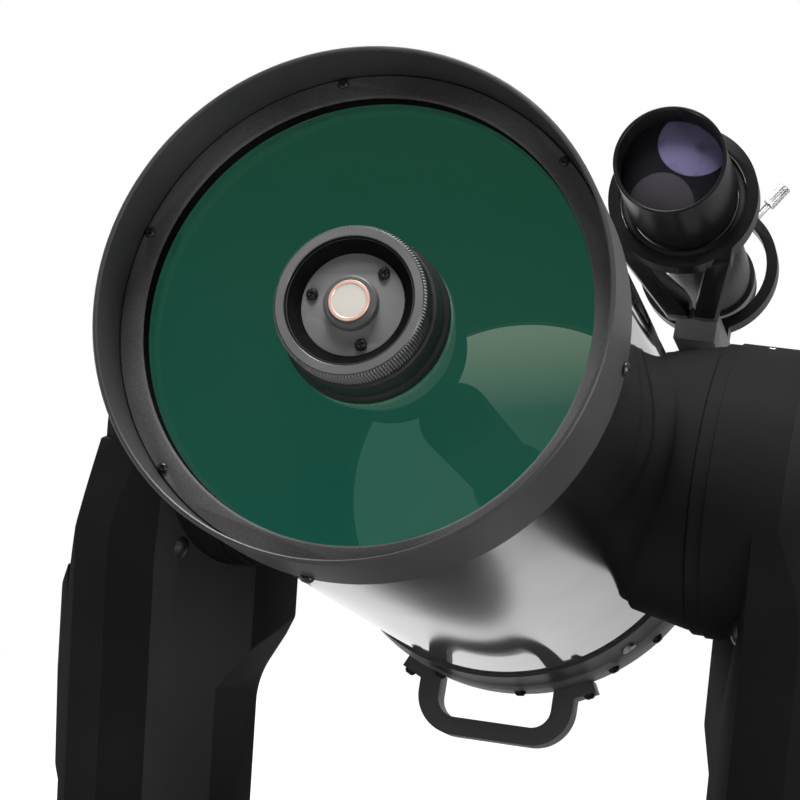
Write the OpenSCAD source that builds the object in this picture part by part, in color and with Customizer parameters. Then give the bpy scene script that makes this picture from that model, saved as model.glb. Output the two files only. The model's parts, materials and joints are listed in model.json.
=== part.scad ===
/* [Stand] */
// Height of the altitude axis above the face that the base stands on
axis_height = 430; // [410:1:470]
// Altitude of the tube at rest, in degrees above level
rest_altitude = 24; // [0:1:60]
// Running gap between parts that turn past each other
run_gap = 0.3; // [0.2:0.05:0.5]
// Radial running fit of a shaft in its hole
shaft_fit = 0.05; // [0.02:0.01:0.08]

/* [Tube] */
// Height of the tube's axis above the altitude axis
tube_lift = 1.5; // [0:0.5:6]
// Altitude axis to the front edge of the lip
front_reach = 295; // [285:1:305]
// Altitude axis to the back face of the rear cell
rear_reach = 145; // [142:1:155]
// Outer radius of the tube
tube_r = 112.5; // [111:0.25:113]
// Wall of the tube
tube_wall = 1.6; // [1.2:0.1:2]

/* [Front cell] */
// Outer radius of the front cell and its lip
lip_r = 116; // [115.5:0.25:118]
// Wall of the lip
lip_wall = 2.3; // [2:0.1:2.6]
// Depth of the retaining ring's face behind the lip's edge
lip_depth = 27; // [24:0.5:30]
// Length of the front cell outside the tube
cell_len = 47; // [44:0.5:50]
// Thickness of the retaining ring
ring_thick = 3; // [2.5:0.1:3.5]
// Inner radius of the retaining ring
ring_in_r = 102.5; // [102:0.25:103]
// Radius of the circle of retaining ring screws
ring_screw_circle = 110.9; // [110.5:0.1:111]
// Radius of the corrector glass
glass_r = 104.5; // [104:0.1:105]
// Thickness of the corrector glass
glass_thick = 4.5; // [4:0.1:5]
// Clear radius behind the glass
clear_r = 101.5; // [101:0.1:101.8]

/* [Secondary] */
// Radius of the knurled ring
knurl_r = 34.6; // [34.2:0.1:35.5]
// Radius of the knurled ring's front face
knurl_face_r = 33.2; // [32.5:0.1:33.8]
// Depth of the knurled ring's front face behind the lip's edge
knurl_depth = 3.7; // [2:0.1:6]
// Radius of the secondary holder
holder_r = 28.9; // [28:0.1:29.2]
// Radius of the flange that clamps the glass
flange_r = 38; // [37:0.5:40]
// Radius of the floor plate that carries the centring screws
plate_r = 23.2; // [22.5:0.1:24]
// Radius of the boss in the middle of the plate
boss_r = 12; // [11:0.1:13]
// Radius of the circle of centring screws
centring_circle = 19; // [18:0.1:19.5]
// Outer radius of the secondary baffle
sec_baffle_r = 34; // [32:0.5:36]
// Length of the secondary baffle behind the glass
sec_baffle_len = 46; // [40:1:52]

/* [Mirror and focus] */
// Radius of the primary mirror
mirror_r = 103; // [101:0.5:105]
// Edge thickness of the primary mirror
mirror_thick = 20; // [18:0.5:21]
// Curvature radius of the primary mirror
mirror_curve = 812; // [780:1:900]
// Distance from the altitude axis back to the mirror's front edge
mirror_back = 93; // [92:0.5:94]
// Outer radius of the baffle tube
baffle_r = 19; // [18.5:0.1:20]
// Wall of the baffle tube
baffle_wall = 1.5; // [1.2:0.1:2]
// Distance from the altitude axis forward to the end of the baffle tube
baffle_reach = 85; // [75:1:95]
// Distance of the focus screw from the tube's axis
focus_offset = 62; // [58:0.5:66]
// Radius of the focus knob
focus_knob_r = 16; // [14:0.5:18]
// Length of the focus knob
focus_knob_len = 28; // [24:1:32]
// Bore radius of the eyepiece holder
eyepiece_bore_r = 15.9; // [15.9:0.01:16]
// Length of the eyepiece holder behind the rear cell's port
holder_len = 34; // [30:1:40]

/* [Rear cell] */
// Radius of the rear cell's rim
rim_r = 117; // [116.5:0.25:118]
// Length of the rear cell along the tube
rear_len = 82; // [78:0.5:86]
// Outer half width of the rear handle
grip_half = 46.5; // [44:0.5:50]
// Distance from the tube's axis to the outside of the rear handle
grip_reach = 146; // [144:0.5:160]
// Thickness of the rear handle's bar
grip_bar = 10.5; // [9:0.5:13]
// Width of the rear handle's legs
grip_leg = 12.5; // [10:0.5:14]
// Width of the rear handle along the tube
grip_width = 16; // [14:0.5:18]

/* [Finder] */
// Finder axis to the right of the tube's axis
finder_x = 83.2; // [81:0.1:86]
// Finder axis above the tube's axis
finder_y = 159.7; // [158:0.1:168]
// Finder's front edge ahead of the altitude axis
finder_front = 62; // [50:1:70]
// Outer radius of the finder's front cell
finder_r = 30.4; // [30:0.1:31]
// Outer radius of the finder's tube in its bracket
finder_tube_r = 30.2; // [29.8:0.1:30.4]
// Outer radius of the finder's rear tube
finder_rear_r = 24; // [22:0.5:25]
// Inner radius of the bracket's rings
bracket_in_r = 35.3; // [35:0.1:37.5]
// Radial thickness of the bracket's rings
bracket_wall = 6.5; // [4.5:0.25:7]

/* [Fork] */
// Tube axis to the face where the fork arm starts
arm_in = 133; // [132:0.25:136]
// Radius of the round housing at the top of each arm
housing_r = 79.5; // [78:0.25:84]
// Tube axis to the seam between arm and outer cover, at the axis
seam_x = 171; // [168:0.5:176]
// Tube axis to the seam, lower down the arm
seam_low_x = 188; // [186:0.5:192]
// Tube axis to the outside of the cover, at the axis
cover_x = 197; // [194:0.5:200]
// Tube axis to the outside of the cover, lower down the arm
cover_low_x = 215; // [210:0.5:216]
// How far the grip pad stands out of the cover
pad_out = 6; // [5:0.5:12]
// Tube axis to the inner face of the lower arm
arm_low_in = 158; // [154:0.5:162]
// Half depth of the lower arm, front to back
arm_half = 85; // [84:0.5:90]
// Wall of the arm castings and covers
arm_wall = 5; // [4:0.25:6]
// Radius of the altitude shafts
shaft_r = 20; // [18:0.5:22]
// Outer radius of the altitude bearings
bearing_r = 32; // [30:0.5:36]
// Radius of the altitude clutch knob
clutch_r = 28; // [24:0.5:32]

/* [Base] */
// Radius of the drive base
base_r = 160; // [155:1:168]
// Height of the drive base
base_height = 104; // [100:1:110]
// Height of the fork's cross casting
cross_height = 46; // [42:1:52]
// Half length of the fork's cross casting
cross_half = 222; // [222:1:235]
// Thickness of the base plate
plate_thick = 8; // [7:0.5:10]
// Radius of the three tapped holes in the base plate
tripod_hole_r = 3.97; // [3.9:0.01:4.1]
// Diameter of the circle of tapped holes
tripod_circle = 140; // [130:1:150]
// Radius of the centre hole
pivot_hole_r = 6.5; // [6:0.1:7]
// Radius of the azimuth hub
hub_r = 30; // [28:0.5:34]
// Outer radius of the azimuth bearing
azimuth_bearing_r = 60; // [56:0.5:64]
// Pitch radius of the worm wheels
wheel_r = 71.4; // [70:0.1:72]
// Radius of the worms
worm_r = 8; // [7:0.1:8.5]

/* [Hidden] */
$fn = 96;

eps = 1;

// Front cell, measured along the tube's axis from the altitude axis
ring_face_z = front_reach - lip_depth;
ring_seat_z = ring_face_z - ring_thick;
ring_skirt = 5.4;
glass_front_z = ring_seat_z - ring_skirt;
glass_back_z = glass_front_z - glass_thick;
cell_back_z = front_reach - cell_len;
spigot_len = 13;
pocket_r = glass_r + 1.5;
lip_in_r = lip_r - lip_wall;
ring_out_r = lip_in_r - 0.4;
tube_in_r = tube_r - tube_wall;
seat_fit = 0.05;
ring_screw_count = 6;
ring_screw_start = 46;
screw_hole_fit = 0.1;
ring_screw_r = 1.5;
ring_screw_head_r = 2.3;
ring_screw_len = 7;
side_screw_r = 2;
side_screw_head_r = 3.3;
side_screw_len = 7;
side_screw_z = cell_back_z + 6;
side_screw_angles = [-93, -3, 87, 177];

// Secondary, with depths behind the lip's edge turned into places on the axis
glass_hole_r = holder_r + 1.8;
knurl_front_z = front_reach - knurl_depth;
knurl_len = 14.5;
knurl_back_z = knurl_front_z - knurl_len;
knurl_count = 90;
flange_front_z = knurl_back_z - 0.2;
flange_step_r = (knurl_r + flange_r) / 2;
flange_spigot_r = glass_hole_r - 0.2;
holder_fit = 0.1;
holder_front_z = knurl_front_z - 1.3;
plate_face_z = knurl_front_z - 6.5;
plate_thick_z = 2.5;
boss_front_z = plate_face_z + 5.5;
cap_r = boss_r - 2.8;
cap_thick = 0.8;
centring_screw_start = 53;
centring_screw_r = 1.3;
centring_head_r = 2.7;
holder_back_z = glass_back_z - 10;
sec_mirror_r = holder_r - 2;
sec_mirror_thick = 9;
sec_mirror_curve = 240;
sec_baffle_wall = 1.5;

// Rear cell and mirror
mirror_front_z = -mirror_back;
mirror_back_z = mirror_front_z - mirror_thick;
focus_travel = 5;
rear_back_z = -rear_reach;
rear_front_z = rear_back_z + rear_len;
rear_plate_thick = 10;
rear_plate_z = rear_back_z + rear_plate_thick;
rear_band_len = 20;
rear_band_r = rim_r - 2.8;
rear_flare_len = 14;
rear_rim_len = 18;
rear_taper = 16;
rear_socket_len = 36;
rear_flare_z = rear_front_z - rear_band_len;
rear_rim_z = rear_flare_z - rear_flare_len;
rear_taper_z = rear_rim_z - rear_rim_len;
rear_bowl_z = mirror_back_z - focus_travel - 1.5;
rear_bowl_r = rim_r - rear_taper - 5;
tube_back_z = rear_front_z - rear_socket_len;
rear_hub_r = 32;
rear_hub_len = 7;
rear_hub_z = rear_plate_z + rear_hub_len;
port_r = 25;
port_len = 11;
port_back_z = rear_back_z - port_len;
rim_screw_z = rear_rim_z - 6.5;
rim_screw_angles = [-105, -81, -53, -38, 10, 74, 106, 138, 170, -160, -135];
rim_screw_r = 2;
rim_screw_head_r = 3.4;
rim_screw_len = 7;
plug_angle = -46;
plug_r = 4.5;
plug_depth = 2;
plug_z = rear_flare_z - 4.5;
plug_seat_r = rear_band_r + 1;
grip_pad = 7;
grip_corner = 24;
grip_turn = 1.5;
grip_screw_step = 2.6;
grip_foot = 16;
grip_toe = 4.6;
grip_sink = 6;
grip_step = 0.5;
grip_leg_angle = asin(grip_half / rim_r);
grip_screw_angles = [
  for (side = [-1, 1]) grip_turn - 90 + side * (grip_leg_angle + grip_screw_step)];
grip_screw_z = rear_taper_z + 2.5;
grip_z = rim_screw_z - rim_screw_head_r - 0.5 - grip_width / 2;
mirror_hole_r = baffle_r + 5.6;
carrier_r = 60;
carrier_thick = 3;
sleeve_r = mirror_hole_r - 0.3;
sleeve_front = 24;
carrier_fit = 0.06;
focus_angle = -45;
focus_screw_r = 3;
lug_r = 7;
lug_len = 16;
focus_tip_z = mirror_back_z - focus_travel - 1.5;
focus_housing_r = 18;
focus_housing_len = 13;
focus_knob_z = rear_back_z - focus_housing_len - run_gap;
nut_r = port_r + 4;
nut_len = 14;
barrel_r = eyepiece_bore_r + 5.5;
thumb_screw_r = 2;
thumb_head_r = 4.5;
eyepiece_screw_z = port_back_z - holder_len + 9;

// Finder, measured from its own front edge
finder_cell_len = 50;
finder_flare = 1.2;
finder_lens_z = -13;
finder_lens_r = finder_r - 2.6;
finder_bore_r = finder_tube_r - 2.5;
front_ring_z = -63;
front_ring_len = 12;
rear_ring_z = -187;
rear_ring_len = 12;
ring_out = bracket_in_r + bracket_wall;
o_ring_r = (bracket_in_r - finder_tube_r) / 2 - 0.2;
o_ring_mid = (bracket_in_r + finder_tube_r) / 2;
finder_neck_z = -76;
finder_waist_z = -104;
finder_tube_end = -205;
eyepiece_end = finder_tube_end - 22;
screw_angle = 56;
screw_tip_gap = 0.3;
screw_reach = 11;
aim_head_r = 3.8;
aim_head_len = 15;
plunger_gap = 4.7;
foot_x = finder_x + 6.8;
foot_half = 12;
foot_front_z = -70;
foot_back_z = finder_front + rear_ring_z - 12;
foot_top_y = finder_y - ring_out - 1.4;
shoe_top_y = foot_top_y - 18;
shoe_half = foot_half + 2;
shoe_len = 24;
shoe_z = rim_screw_z - 18;
leg_half = front_ring_len / 2;
leg_feet = [-11, 5];
leg_angles = [228, 312];

// Fork, with heights measured from the altitude axis
saddle_back_x = 92;
saddle_back_r = 70;
saddle_neck_r = housing_r - 3;
saddle_ring_r = housing_r - 1;
saddle_face_x = arm_in - run_gap;
saddle_ring_len = 7.5;
saddle_screw_place = 32;
saddle_screw_len = 13;
shaft_in_x = tube_r + 3;
shaft_end_x = seam_x - 5;
bearing_x = arm_in + 3;
bearing_len = 13;
bearing_lip_r = shaft_r + 4;
wheel_cavity_x = bearing_x + bearing_len + 2;
wheel_cavity_r = wheel_r + 2.8;
wheel_len = 10;
wheel_x = wheel_cavity_x + 4;
wheel_teeth = 180;
tooth_depth = 1.6;
mesh_gap = 0.3;
worm_drop = wheel_r + worm_r + mesh_gap;
worm_len = 50;
worm_pitch = 2 * PI * wheel_r / wheel_teeth;
worm_shaft_r = 4;
cross_top_z = base_height + run_gap + cross_height;
foot_up = cross_top_z - axis_height;
inner_slope_top = -132;
inner_slope_end = -178;
inner_top_round = 8;
inner_low_round = 60;
seam_bend = -60;
cover_bend = -120;
cover_edge = 8;
bend_steps = 8;
crease_y = -2;
ridge_front_y = arm_half + 6;
ridge_back_y = arm_half - 6;
front_edge_in = arm_low_in + 2;
pocket_half = arm_half - 23;
drive_half = pocket_half - 16;
pocket_up = -132;
arm_floor = 12;
switch_cut = 30;
clutch_shaft_r = 6;
arm_screw_r = 2;
arm_screw_len = 5;
slant_along = 0.75;
slant_y = crease_y + slant_along * (arm_half - crease_y);
slant_screw_r = housing_r + 7;
slant_screw_up = -sqrt(slant_screw_r * slant_screw_r - slant_y * slant_y);
top_screw_x = arm_in + 16;
clutch_len = 24;
clutch_seat_r = clutch_r + 3;
clutch_seat_x = cover_x + (cover_low_x - cover_x) * sin(-90 * (clutch_seat_r + 3) / cover_bend);
altitude_motor_len = 30;
pad_top_up = -74;
pad_low_up = -202;
seam_curve = bend(seam_x, seam_low_x, seam_bend);

// Base
cross_bottom_z = base_height + run_gap;
cross_round_r = base_r + 8;
cross_half_y = arm_half + 8;
base_wall = 7;
hub_bottom_z = plate_thick + 40;
sleeve_bottom_z = base_height - 26;
sleeve_wall = 6;
azimuth_wheel_len = 12;
azimuth_wheel_z = sleeve_bottom_z - azimuth_wheel_len;
azimuth_worm_z = azimuth_wheel_z + azimuth_wheel_len / 2;
cross_wall = 8;
cross_skin = 9;
azimuth_clutch_x = 0;
azimuth_clutch_y = -76;
azimuth_clutch_r = 20;
azimuth_clutch_len = 22;
azimuth_motor_len = 20;
azimuth_nut_wall = 12;
azimuth_nut_len = 12;
panel_half = 56;
panel_edge = 4;
panel_low_z = plate_thick + 12;
panel_height = 58;
switch_z = 50;
switch_half_x = 9;
switch_half_z = 6;
switch_x = 24;
switch_deep = 5.5;
switch_pin_r = 1.5;
inlet_x = -24;
inlet_r = 2.9;
inlet_len = 8;
panel_depth = 4;
panel_y = -(base_r - panel_depth);

black = "#1c1c1e";
dark_grey = "#3a3a3c";
mid_grey = "#77777a";
silver = "#c9cacc";
steel = "#a8aaad";
glass_green = "#1d6b4d";

// A vector of length 1
function unit(v) = v / norm(v);

// An outline with each corner rounded by its own radius
function rounded(points, radii) = [
  for (i = [0 : len(points) - 1])
    let (
      corner = points[i],
      back = unit(points[(i + len(points) - 1) % len(points)] - corner),
      ahead = unit(points[(i + 1) % len(points)] - corner),
      half = acos(back * ahead) / 2,
      centre = corner + unit(back + ahead) * radii[i] / sin(half))
    each radii[i] == 0 ? [corner] : [
      for (step = [0 : bend_steps])
        let (chord = (back * (bend_steps - step) + ahead * step) / bend_steps)
          centre + radii[i] * unit(corner + chord * radii[i] / tan(half) - centre)]];

// A line from above, at x = top, that bends out to x = low at a height below the altitude axis
function bend(top, low, height) = [
  for (step = [0 : bend_steps])
    [top + (low - top) * sin(90 * step / bend_steps), height * step / bend_steps]];

// Places a shape that is drawn along the tube's axis, +Z to the front and +Y to the top
module in_tube() {
  translate([0, 0, axis_height])
    rotate([90 - rest_altitude, 0, 0])
      translate([0, tube_lift, 0])
        children();
}

// Places a shape in the finder's own frame, with its front edge at the origin
module in_finder() {
  in_tube()
    translate([finder_x, finder_y, finder_front])
      children();
}

// Places a shape on the altitude axis, turned so that its +Z runs along +X
module on_altitude_axis(x = 0) {
  translate([x, 0, axis_height])
    rotate([0, 90, 0])
      children();
}

// Turns a shape so that its +Z points outwards at an angle round the tube's axis
module radial(angle, r, z) {
  rotate([0, 0, angle])
    translate([r, 0, z])
      rotate([0, 90, 0])
        children();
}

// A plain ring between two heights
module ring(r_in, r_out, z0, z1) {
  translate([0, 0, z0])
    difference() {
      cylinder(r = r_out, h = z1 - z0);
      translate([0, 0, -eps])
        cylinder(r = r_in, h = z1 - z0 + 2 * eps);
    }
}

// A round-headed screw with a cross recess, seated at the origin with its head in +Z
module cross_screw(shank_r, head_r, length) {
  head_h = head_r * 0.7;
  recess_w = head_r * 0.32;
  recess_l = head_r * 1.25;
  difference() {
    union() {
      cylinder(r = head_r, h = head_h * 0.45);
      translate([0, 0, head_h * 0.45])
        cylinder(r1 = head_r, r2 = head_r * 0.62, h = head_h * 0.55);
      translate([0, 0, -length])
        cylinder(r = shank_r, h = length + head_h * 0.2);
    }
    for (turn = [0, 90])
      rotate([0, 0, turn])
        translate([-recess_l / 2, -recess_w / 2, head_h * 0.35])
          cube([recess_l, recess_w, head_h]);
  }
}

// A hole for a screw's shank, from just above its seat
module screw_hole(shank_r, length) {
  translate([0, 0, -length - 0.5])
    cylinder(r = shank_r + screw_hole_fit, h = length + 0.5 + eps);
}

// A thumbscrew: rod with a ribbed head, along +Z from its tip at the origin
module thumbscrew(rod_len, head_r, head_len) {
  ribs = 18;
  rib_r = head_r * 0.08;
  difference() {
    union() {
      cylinder(r = thumb_screw_r, h = rod_len + eps);
      translate([0, 0, rod_len])
        cylinder(r = head_r, h = head_len);
    }
    for (i = [0 : ribs - 1])
      rotate([0, 0, i * 360 / ribs])
        translate([head_r, 0, rod_len + head_len * 0.12])
          cylinder(r = rib_r, h = head_len * 0.76, $fn = 16);
  }
}

module optical_tube() {
  color(silver)
    in_tube()
      difference() {
        ring(tube_in_r, tube_r, tube_back_z, cell_back_z);
        saddle_screw_holes();
      }
}

module front_cell() {
  spigot_r = tube_in_r - seat_fit;
  color(black)
    in_tube()
      difference() {
        rotate_extrude()
          polygon([
            [lip_in_r, ring_seat_z], [lip_in_r, front_reach - 0.5],
            [lip_in_r + 0.5, front_reach], [lip_r - 0.7, front_reach],
            [lip_r, front_reach - 0.7], [lip_r, cell_back_z + 1],
            [lip_r - 1, cell_back_z], [spigot_r, cell_back_z],
            [spigot_r, cell_back_z - spigot_len],
            [spigot_r - 3, cell_back_z - spigot_len], [clear_r, cell_back_z],
            [clear_r, glass_back_z], [pocket_r, glass_back_z], [pocket_r, ring_seat_z]]);
        ring_screw_places()
          screw_hole(ring_screw_r, ring_screw_len);
        side_screw_places()
          screw_hole(side_screw_r, side_screw_len);
      }
}

module ring_screw_places() {
  for (i = [0 : ring_screw_count - 1])
    rotate([0, 0, ring_screw_start + i * 360 / ring_screw_count])
      translate([ring_screw_circle, 0, ring_face_z])
        children();
}

module side_screw_places() {
  for (a = side_screw_angles)
    radial(a, lip_r, side_screw_z)
      children();
}

module corrector_plate() {
  color(glass_green)
    in_tube()
      ring(glass_hole_r, glass_r, glass_back_z, glass_front_z);
}

// Cork shims that centre the glass in its pocket
module corrector_spacers() {
  shim_angle = 12;
  color("#8a6a45")
    in_tube()
      for (i = [0 : 3])
        rotate([0, 0, 20 + i * 90])
          translate([0, 0, glass_back_z])
            rotate_extrude(angle = shim_angle)
              translate([glass_r + seat_fit, 0])
                square([pocket_r - glass_r - 2 * seat_fit, glass_thick]);
}

module retaining_ring() {
  notch_angle = 4;
  notch_w = 2.5;
  notch_d = 3;
  color(dark_grey)
    in_tube()
      difference() {
        rotate_extrude()
          polygon([
            [ring_in_r, glass_front_z], [glass_r, glass_front_z], [glass_r, ring_seat_z],
            [ring_out_r, ring_seat_z], [ring_out_r, ring_face_z - 0.4], [ring_out_r - 0.4, ring_face_z],
            [ring_in_r + 1, ring_face_z], [ring_in_r, ring_face_z - 1]]);
        ring_screw_places()
          screw_hole(ring_screw_r, ring_screw_len);
        rotate([0, 0, notch_angle])
          translate([ring_out_r - notch_d, -notch_w / 2, ring_seat_z - eps])
            cube([notch_d + eps, notch_w, ring_thick + 2 * eps]);
      }
}

module retaining_ring_screws() {
  color(black)
    in_tube()
      ring_screw_places()
        cross_screw(ring_screw_r, ring_screw_head_r, ring_screw_len);
}

module front_cell_screws() {
  color(black)
    in_tube()
      side_screw_places()
        cross_screw(side_screw_r, side_screw_head_r, side_screw_len);
}

module secondary_flange() {
  in_r = holder_r + holder_fit;
  color(black)
    in_tube()
      rotate_extrude()
        polygon([
          [in_r, glass_back_z], [flange_spigot_r, glass_back_z],
          [flange_spigot_r, glass_front_z], [flange_r, glass_front_z],
          [flange_r, glass_front_z + 4.5], [flange_step_r, glass_front_z + 6.5],
          [flange_step_r - 1, flange_front_z], [in_r, flange_front_z]]);
}

module knurled_ring() {
  in_r = holder_r + holder_fit;
  band = 9;
  cut_r = 0.7;
  color(mid_grey)
    in_tube()
      difference() {
        rotate_extrude()
          polygon([
            [in_r, knurl_back_z], [knurl_r - 1, knurl_back_z], [knurl_r, knurl_back_z + 0.8],
            [knurl_r, knurl_back_z + band + 1], [knurl_face_r, knurl_back_z + band + 2.4],
            [knurl_face_r, knurl_front_z - 0.4], [knurl_face_r - 0.4, knurl_front_z],
            [in_r + 0.4, knurl_front_z], [in_r, knurl_front_z - 0.4]]);
        for (i = [0 : knurl_count - 1])
          rotate([0, 0, i * 360 / knurl_count])
            translate([knurl_r, 0, knurl_back_z + 1.2])
              rotate([0, 0, 45])
                translate([-cut_r / 2, -cut_r / 2, 0])
                  cube([cut_r, cut_r, band - 0.8]);
      }
}

module secondary_holder() {
  color(black)
    in_tube()
      rotate_extrude()
        polygon([
          [0, holder_back_z], [holder_r, holder_back_z], [holder_r, holder_front_z],
          [holder_r - 1.1, holder_front_z], [holder_r - 1.1, holder_front_z - 1.2],
          [plate_r + 0.1, plate_face_z], [plate_r + 0.1, plate_face_z - plate_thick_z],
          [0, plate_face_z - plate_thick_z]]);
}

module centring_places() {
  for (i = [0 : 2])
    rotate([0, 0, centring_screw_start + i * 120])
      translate([centring_circle, 0, plate_face_z])
        children();
}

module secondary_plate() {
  color(mid_grey)
    in_tube()
      difference() {
        rotate_extrude()
          polygon([
            [0, plate_face_z - plate_thick_z], [plate_r, plate_face_z - plate_thick_z],
            [plate_r, plate_face_z], [boss_r, plate_face_z], [boss_r, boss_front_z - 1],
            [boss_r - 1, boss_front_z], [0, boss_front_z]]);
        centring_places()
          translate([0, 0, -plate_thick_z - eps])
            cylinder(r = centring_screw_r + screw_hole_fit, h = plate_thick_z + 2 * eps);
      }
}

module centring_screws() {
  color(black)
    in_tube()
      centring_places()
        cross_screw(centring_screw_r, centring_head_r, plate_thick_z);
}

module secondary_cap() {
  color(silver)
    in_tube()
      translate([0, 0, boss_front_z])
        cylinder(r1 = cap_r, r2 = cap_r - 0.3, h = cap_thick);
}

module secondary_baffle() {
  back_z = glass_back_z - sec_baffle_len;
  color(black)
    in_tube()
      rotate_extrude()
        polygon([
          [holder_r + holder_fit, glass_back_z], [flange_r, glass_back_z],
          [flange_r, glass_back_z - 4], [sec_baffle_r, glass_back_z - 5],
          [sec_baffle_r, back_z], [sec_baffle_r - sec_baffle_wall, back_z],
          [sec_baffle_r - sec_baffle_wall, glass_back_z - 8],
          [holder_r + holder_fit, glass_back_z - 8]]);
}

module secondary_mirror() {
  back_z = holder_back_z - sec_mirror_thick;
  color(silver)
    in_tube()
      intersection() {
        translate([0, 0, back_z])
          cylinder(r = sec_mirror_r, h = sec_mirror_thick);
        translate([0, 0, back_z + sec_mirror_curve])
          sphere(r = sec_mirror_curve, $fn = 300);
      }
}

module rear_cell() {
  socket_r = tube_r + seat_fit;
  bore_r = port_r + seat_fit;
  color(black)
    in_tube()
      difference() {
        rotate_extrude()
          polygon([
            [socket_r, rear_front_z], [rear_band_r, rear_front_z],
            [rear_band_r, rear_flare_z], [rim_r, rear_rim_z], [rim_r, rear_taper_z],
            [rim_r - rear_taper, rear_back_z], [bore_r, rear_back_z], [bore_r, rear_hub_z],
            [rear_hub_r, rear_hub_z], [rear_hub_r, rear_plate_z],
            [rear_bowl_r, rear_plate_z], [tube_in_r - 4, rear_bowl_z], [tube_in_r - 4, tube_back_z],
            [socket_r, tube_back_z]]);
        rim_screw_holes();
        radial(plug_angle, plug_seat_r, plug_z)
          translate([0, 0, -plug_depth])
            cylinder(r = plug_r + seat_fit, h = plug_depth + 2 * eps);
        rotate([0, 0, focus_angle])
          translate([focus_offset, 0, rear_back_z - eps])
            cylinder(r = focus_screw_r + shaft_fit, h = rear_plate_thick + 2 * eps);
      }
}

module rim_screw_holes() {
  for (a = rim_screw_angles)
    radial(a, rim_r, rim_screw_z)
      screw_hole(rim_screw_r, rim_screw_len);
  for (a = grip_screw_angles)
    radial(a, rim_r, grip_screw_z)
      screw_hole(rim_screw_r, rim_screw_len);
}

// Screws of the rear cell, the handle's feet and the saddles
module tube_screws() {
  color(black)
    in_tube() {
      for (a = rim_screw_angles)
        radial(a, rim_r, rim_screw_z)
          cross_screw(rim_screw_r, rim_screw_head_r, rim_screw_len);
      for (a = grip_screw_angles)
        radial(a, rim_r + grip_pad, grip_screw_z)
          cross_screw(rim_screw_r, rim_screw_head_r, rim_screw_len + grip_pad);
      saddle_screw_places()
        cross_screw(rim_screw_r, rim_screw_head_r, saddle_screw_len);
    }
}

module rear_plug() {
  color(silver)
    in_tube()
      radial(plug_angle, plug_seat_r, plug_z)
        translate([0, 0, -plug_depth])
          difference() {
            cylinder(r = plug_r, h = plug_depth + 0.6);
            translate([-plug_r * 0.7, -0.5, plug_depth - 0.5])
              cube([plug_r * 1.4, 1, 2]);
          }
}

// Outline of the rear handle across the tube, open towards the rim
module grip_outline(half, reach, corner) {
  top = rim_r * 0.8;
  translate([-half, corner - reach])
    square([2 * half, reach - corner - top]);
  translate([corner - half, -reach])
    square([2 * (half - corner), corner + eps]);
  for (side = [-1, 1])
    translate([side * (half - corner), corner - reach])
      circle(r = corner);
}

module rear_handle() {
  color(black)
    in_tube()
      difference() {
        union() {
          translate([0, 0, grip_z - grip_width / 2])
            rotate([0, 0, grip_turn])
              linear_extrude(grip_width)
                difference() {
                  grip_outline(grip_half, grip_reach, grip_corner);
                  grip_outline(grip_half - grip_leg, grip_reach - grip_bar, grip_corner - grip_leg);
                }
          for (side = [0, 1])
            rotate([0, 0, grip_screw_angles[side]])
              translate([
                rim_r - grip_sink, side == 0 ? -grip_toe : grip_toe - grip_foot,
                grip_z - grip_width / 2 + grip_step])
                cube([grip_sink + grip_pad, grip_foot, grip_width - 2 * grip_step]);
        }
        translate([0, 0, grip_z - grip_width])
          cylinder(r = rim_r, h = 2 * grip_width);
        for (a = grip_screw_angles)
          radial(a, rim_r + grip_pad, grip_screw_z) {
            screw_hole(rim_screw_r, rim_screw_len + grip_pad);
            cylinder(r = rim_screw_head_r + 0.4, h = 20);
          }
      }
}

// Baffle tube, whose thick rear end goes through the rear cell and forms the threaded port
module baffle_tube() {
  color(black)
    in_tube()
      rotate_extrude()
        polygon([
          [baffle_r - baffle_wall, port_back_z], [port_r, port_back_z], [port_r, rear_hub_z],
          [baffle_r, rear_hub_z], [baffle_r, baffle_reach], [baffle_r - baffle_wall, baffle_reach]]);
}

module primary_mirror() {
  color("#dfe6e8")
    in_tube()
      difference() {
        ring(mirror_hole_r, mirror_r, mirror_back_z, mirror_front_z);
        sag = mirror_curve - sqrt(mirror_curve * mirror_curve - mirror_r * mirror_r);
        translate([0, 0, mirror_front_z - sag + mirror_curve])
          sphere(r = mirror_curve, $fn = 300);
      }
}

module mirror_carrier() {
  color(mid_grey)
    in_tube()
      difference() {
        union() {
          translate([0, 0, mirror_back_z - carrier_thick])
            cylinder(r = carrier_r, h = carrier_thick);
          translate([0, 0, mirror_back_z - carrier_thick - 2])
            cylinder(r = sleeve_r, h = mirror_thick + sleeve_front + carrier_thick);
          rotate([0, 0, focus_angle])
            translate([focus_offset, 0, mirror_back_z - lug_len])
              cylinder(r = lug_r, h = lug_len);
        }
        translate([0, 0, mirror_back_z - 40])
          cylinder(r = baffle_r + carrier_fit, h = 140);
        rotate([0, 0, focus_angle])
          translate([focus_offset, 0, mirror_back_z - lug_len - eps])
            cylinder(r = focus_screw_r + shaft_fit, h = lug_len + 2 * eps);
      }
}

module focus_screw() {
  color(steel)
    in_tube()
      rotate([0, 0, focus_angle])
        translate([focus_offset, 0, focus_knob_z - 8])
          cylinder(r = focus_screw_r, h = focus_tip_z - focus_knob_z + 8);
}

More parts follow.
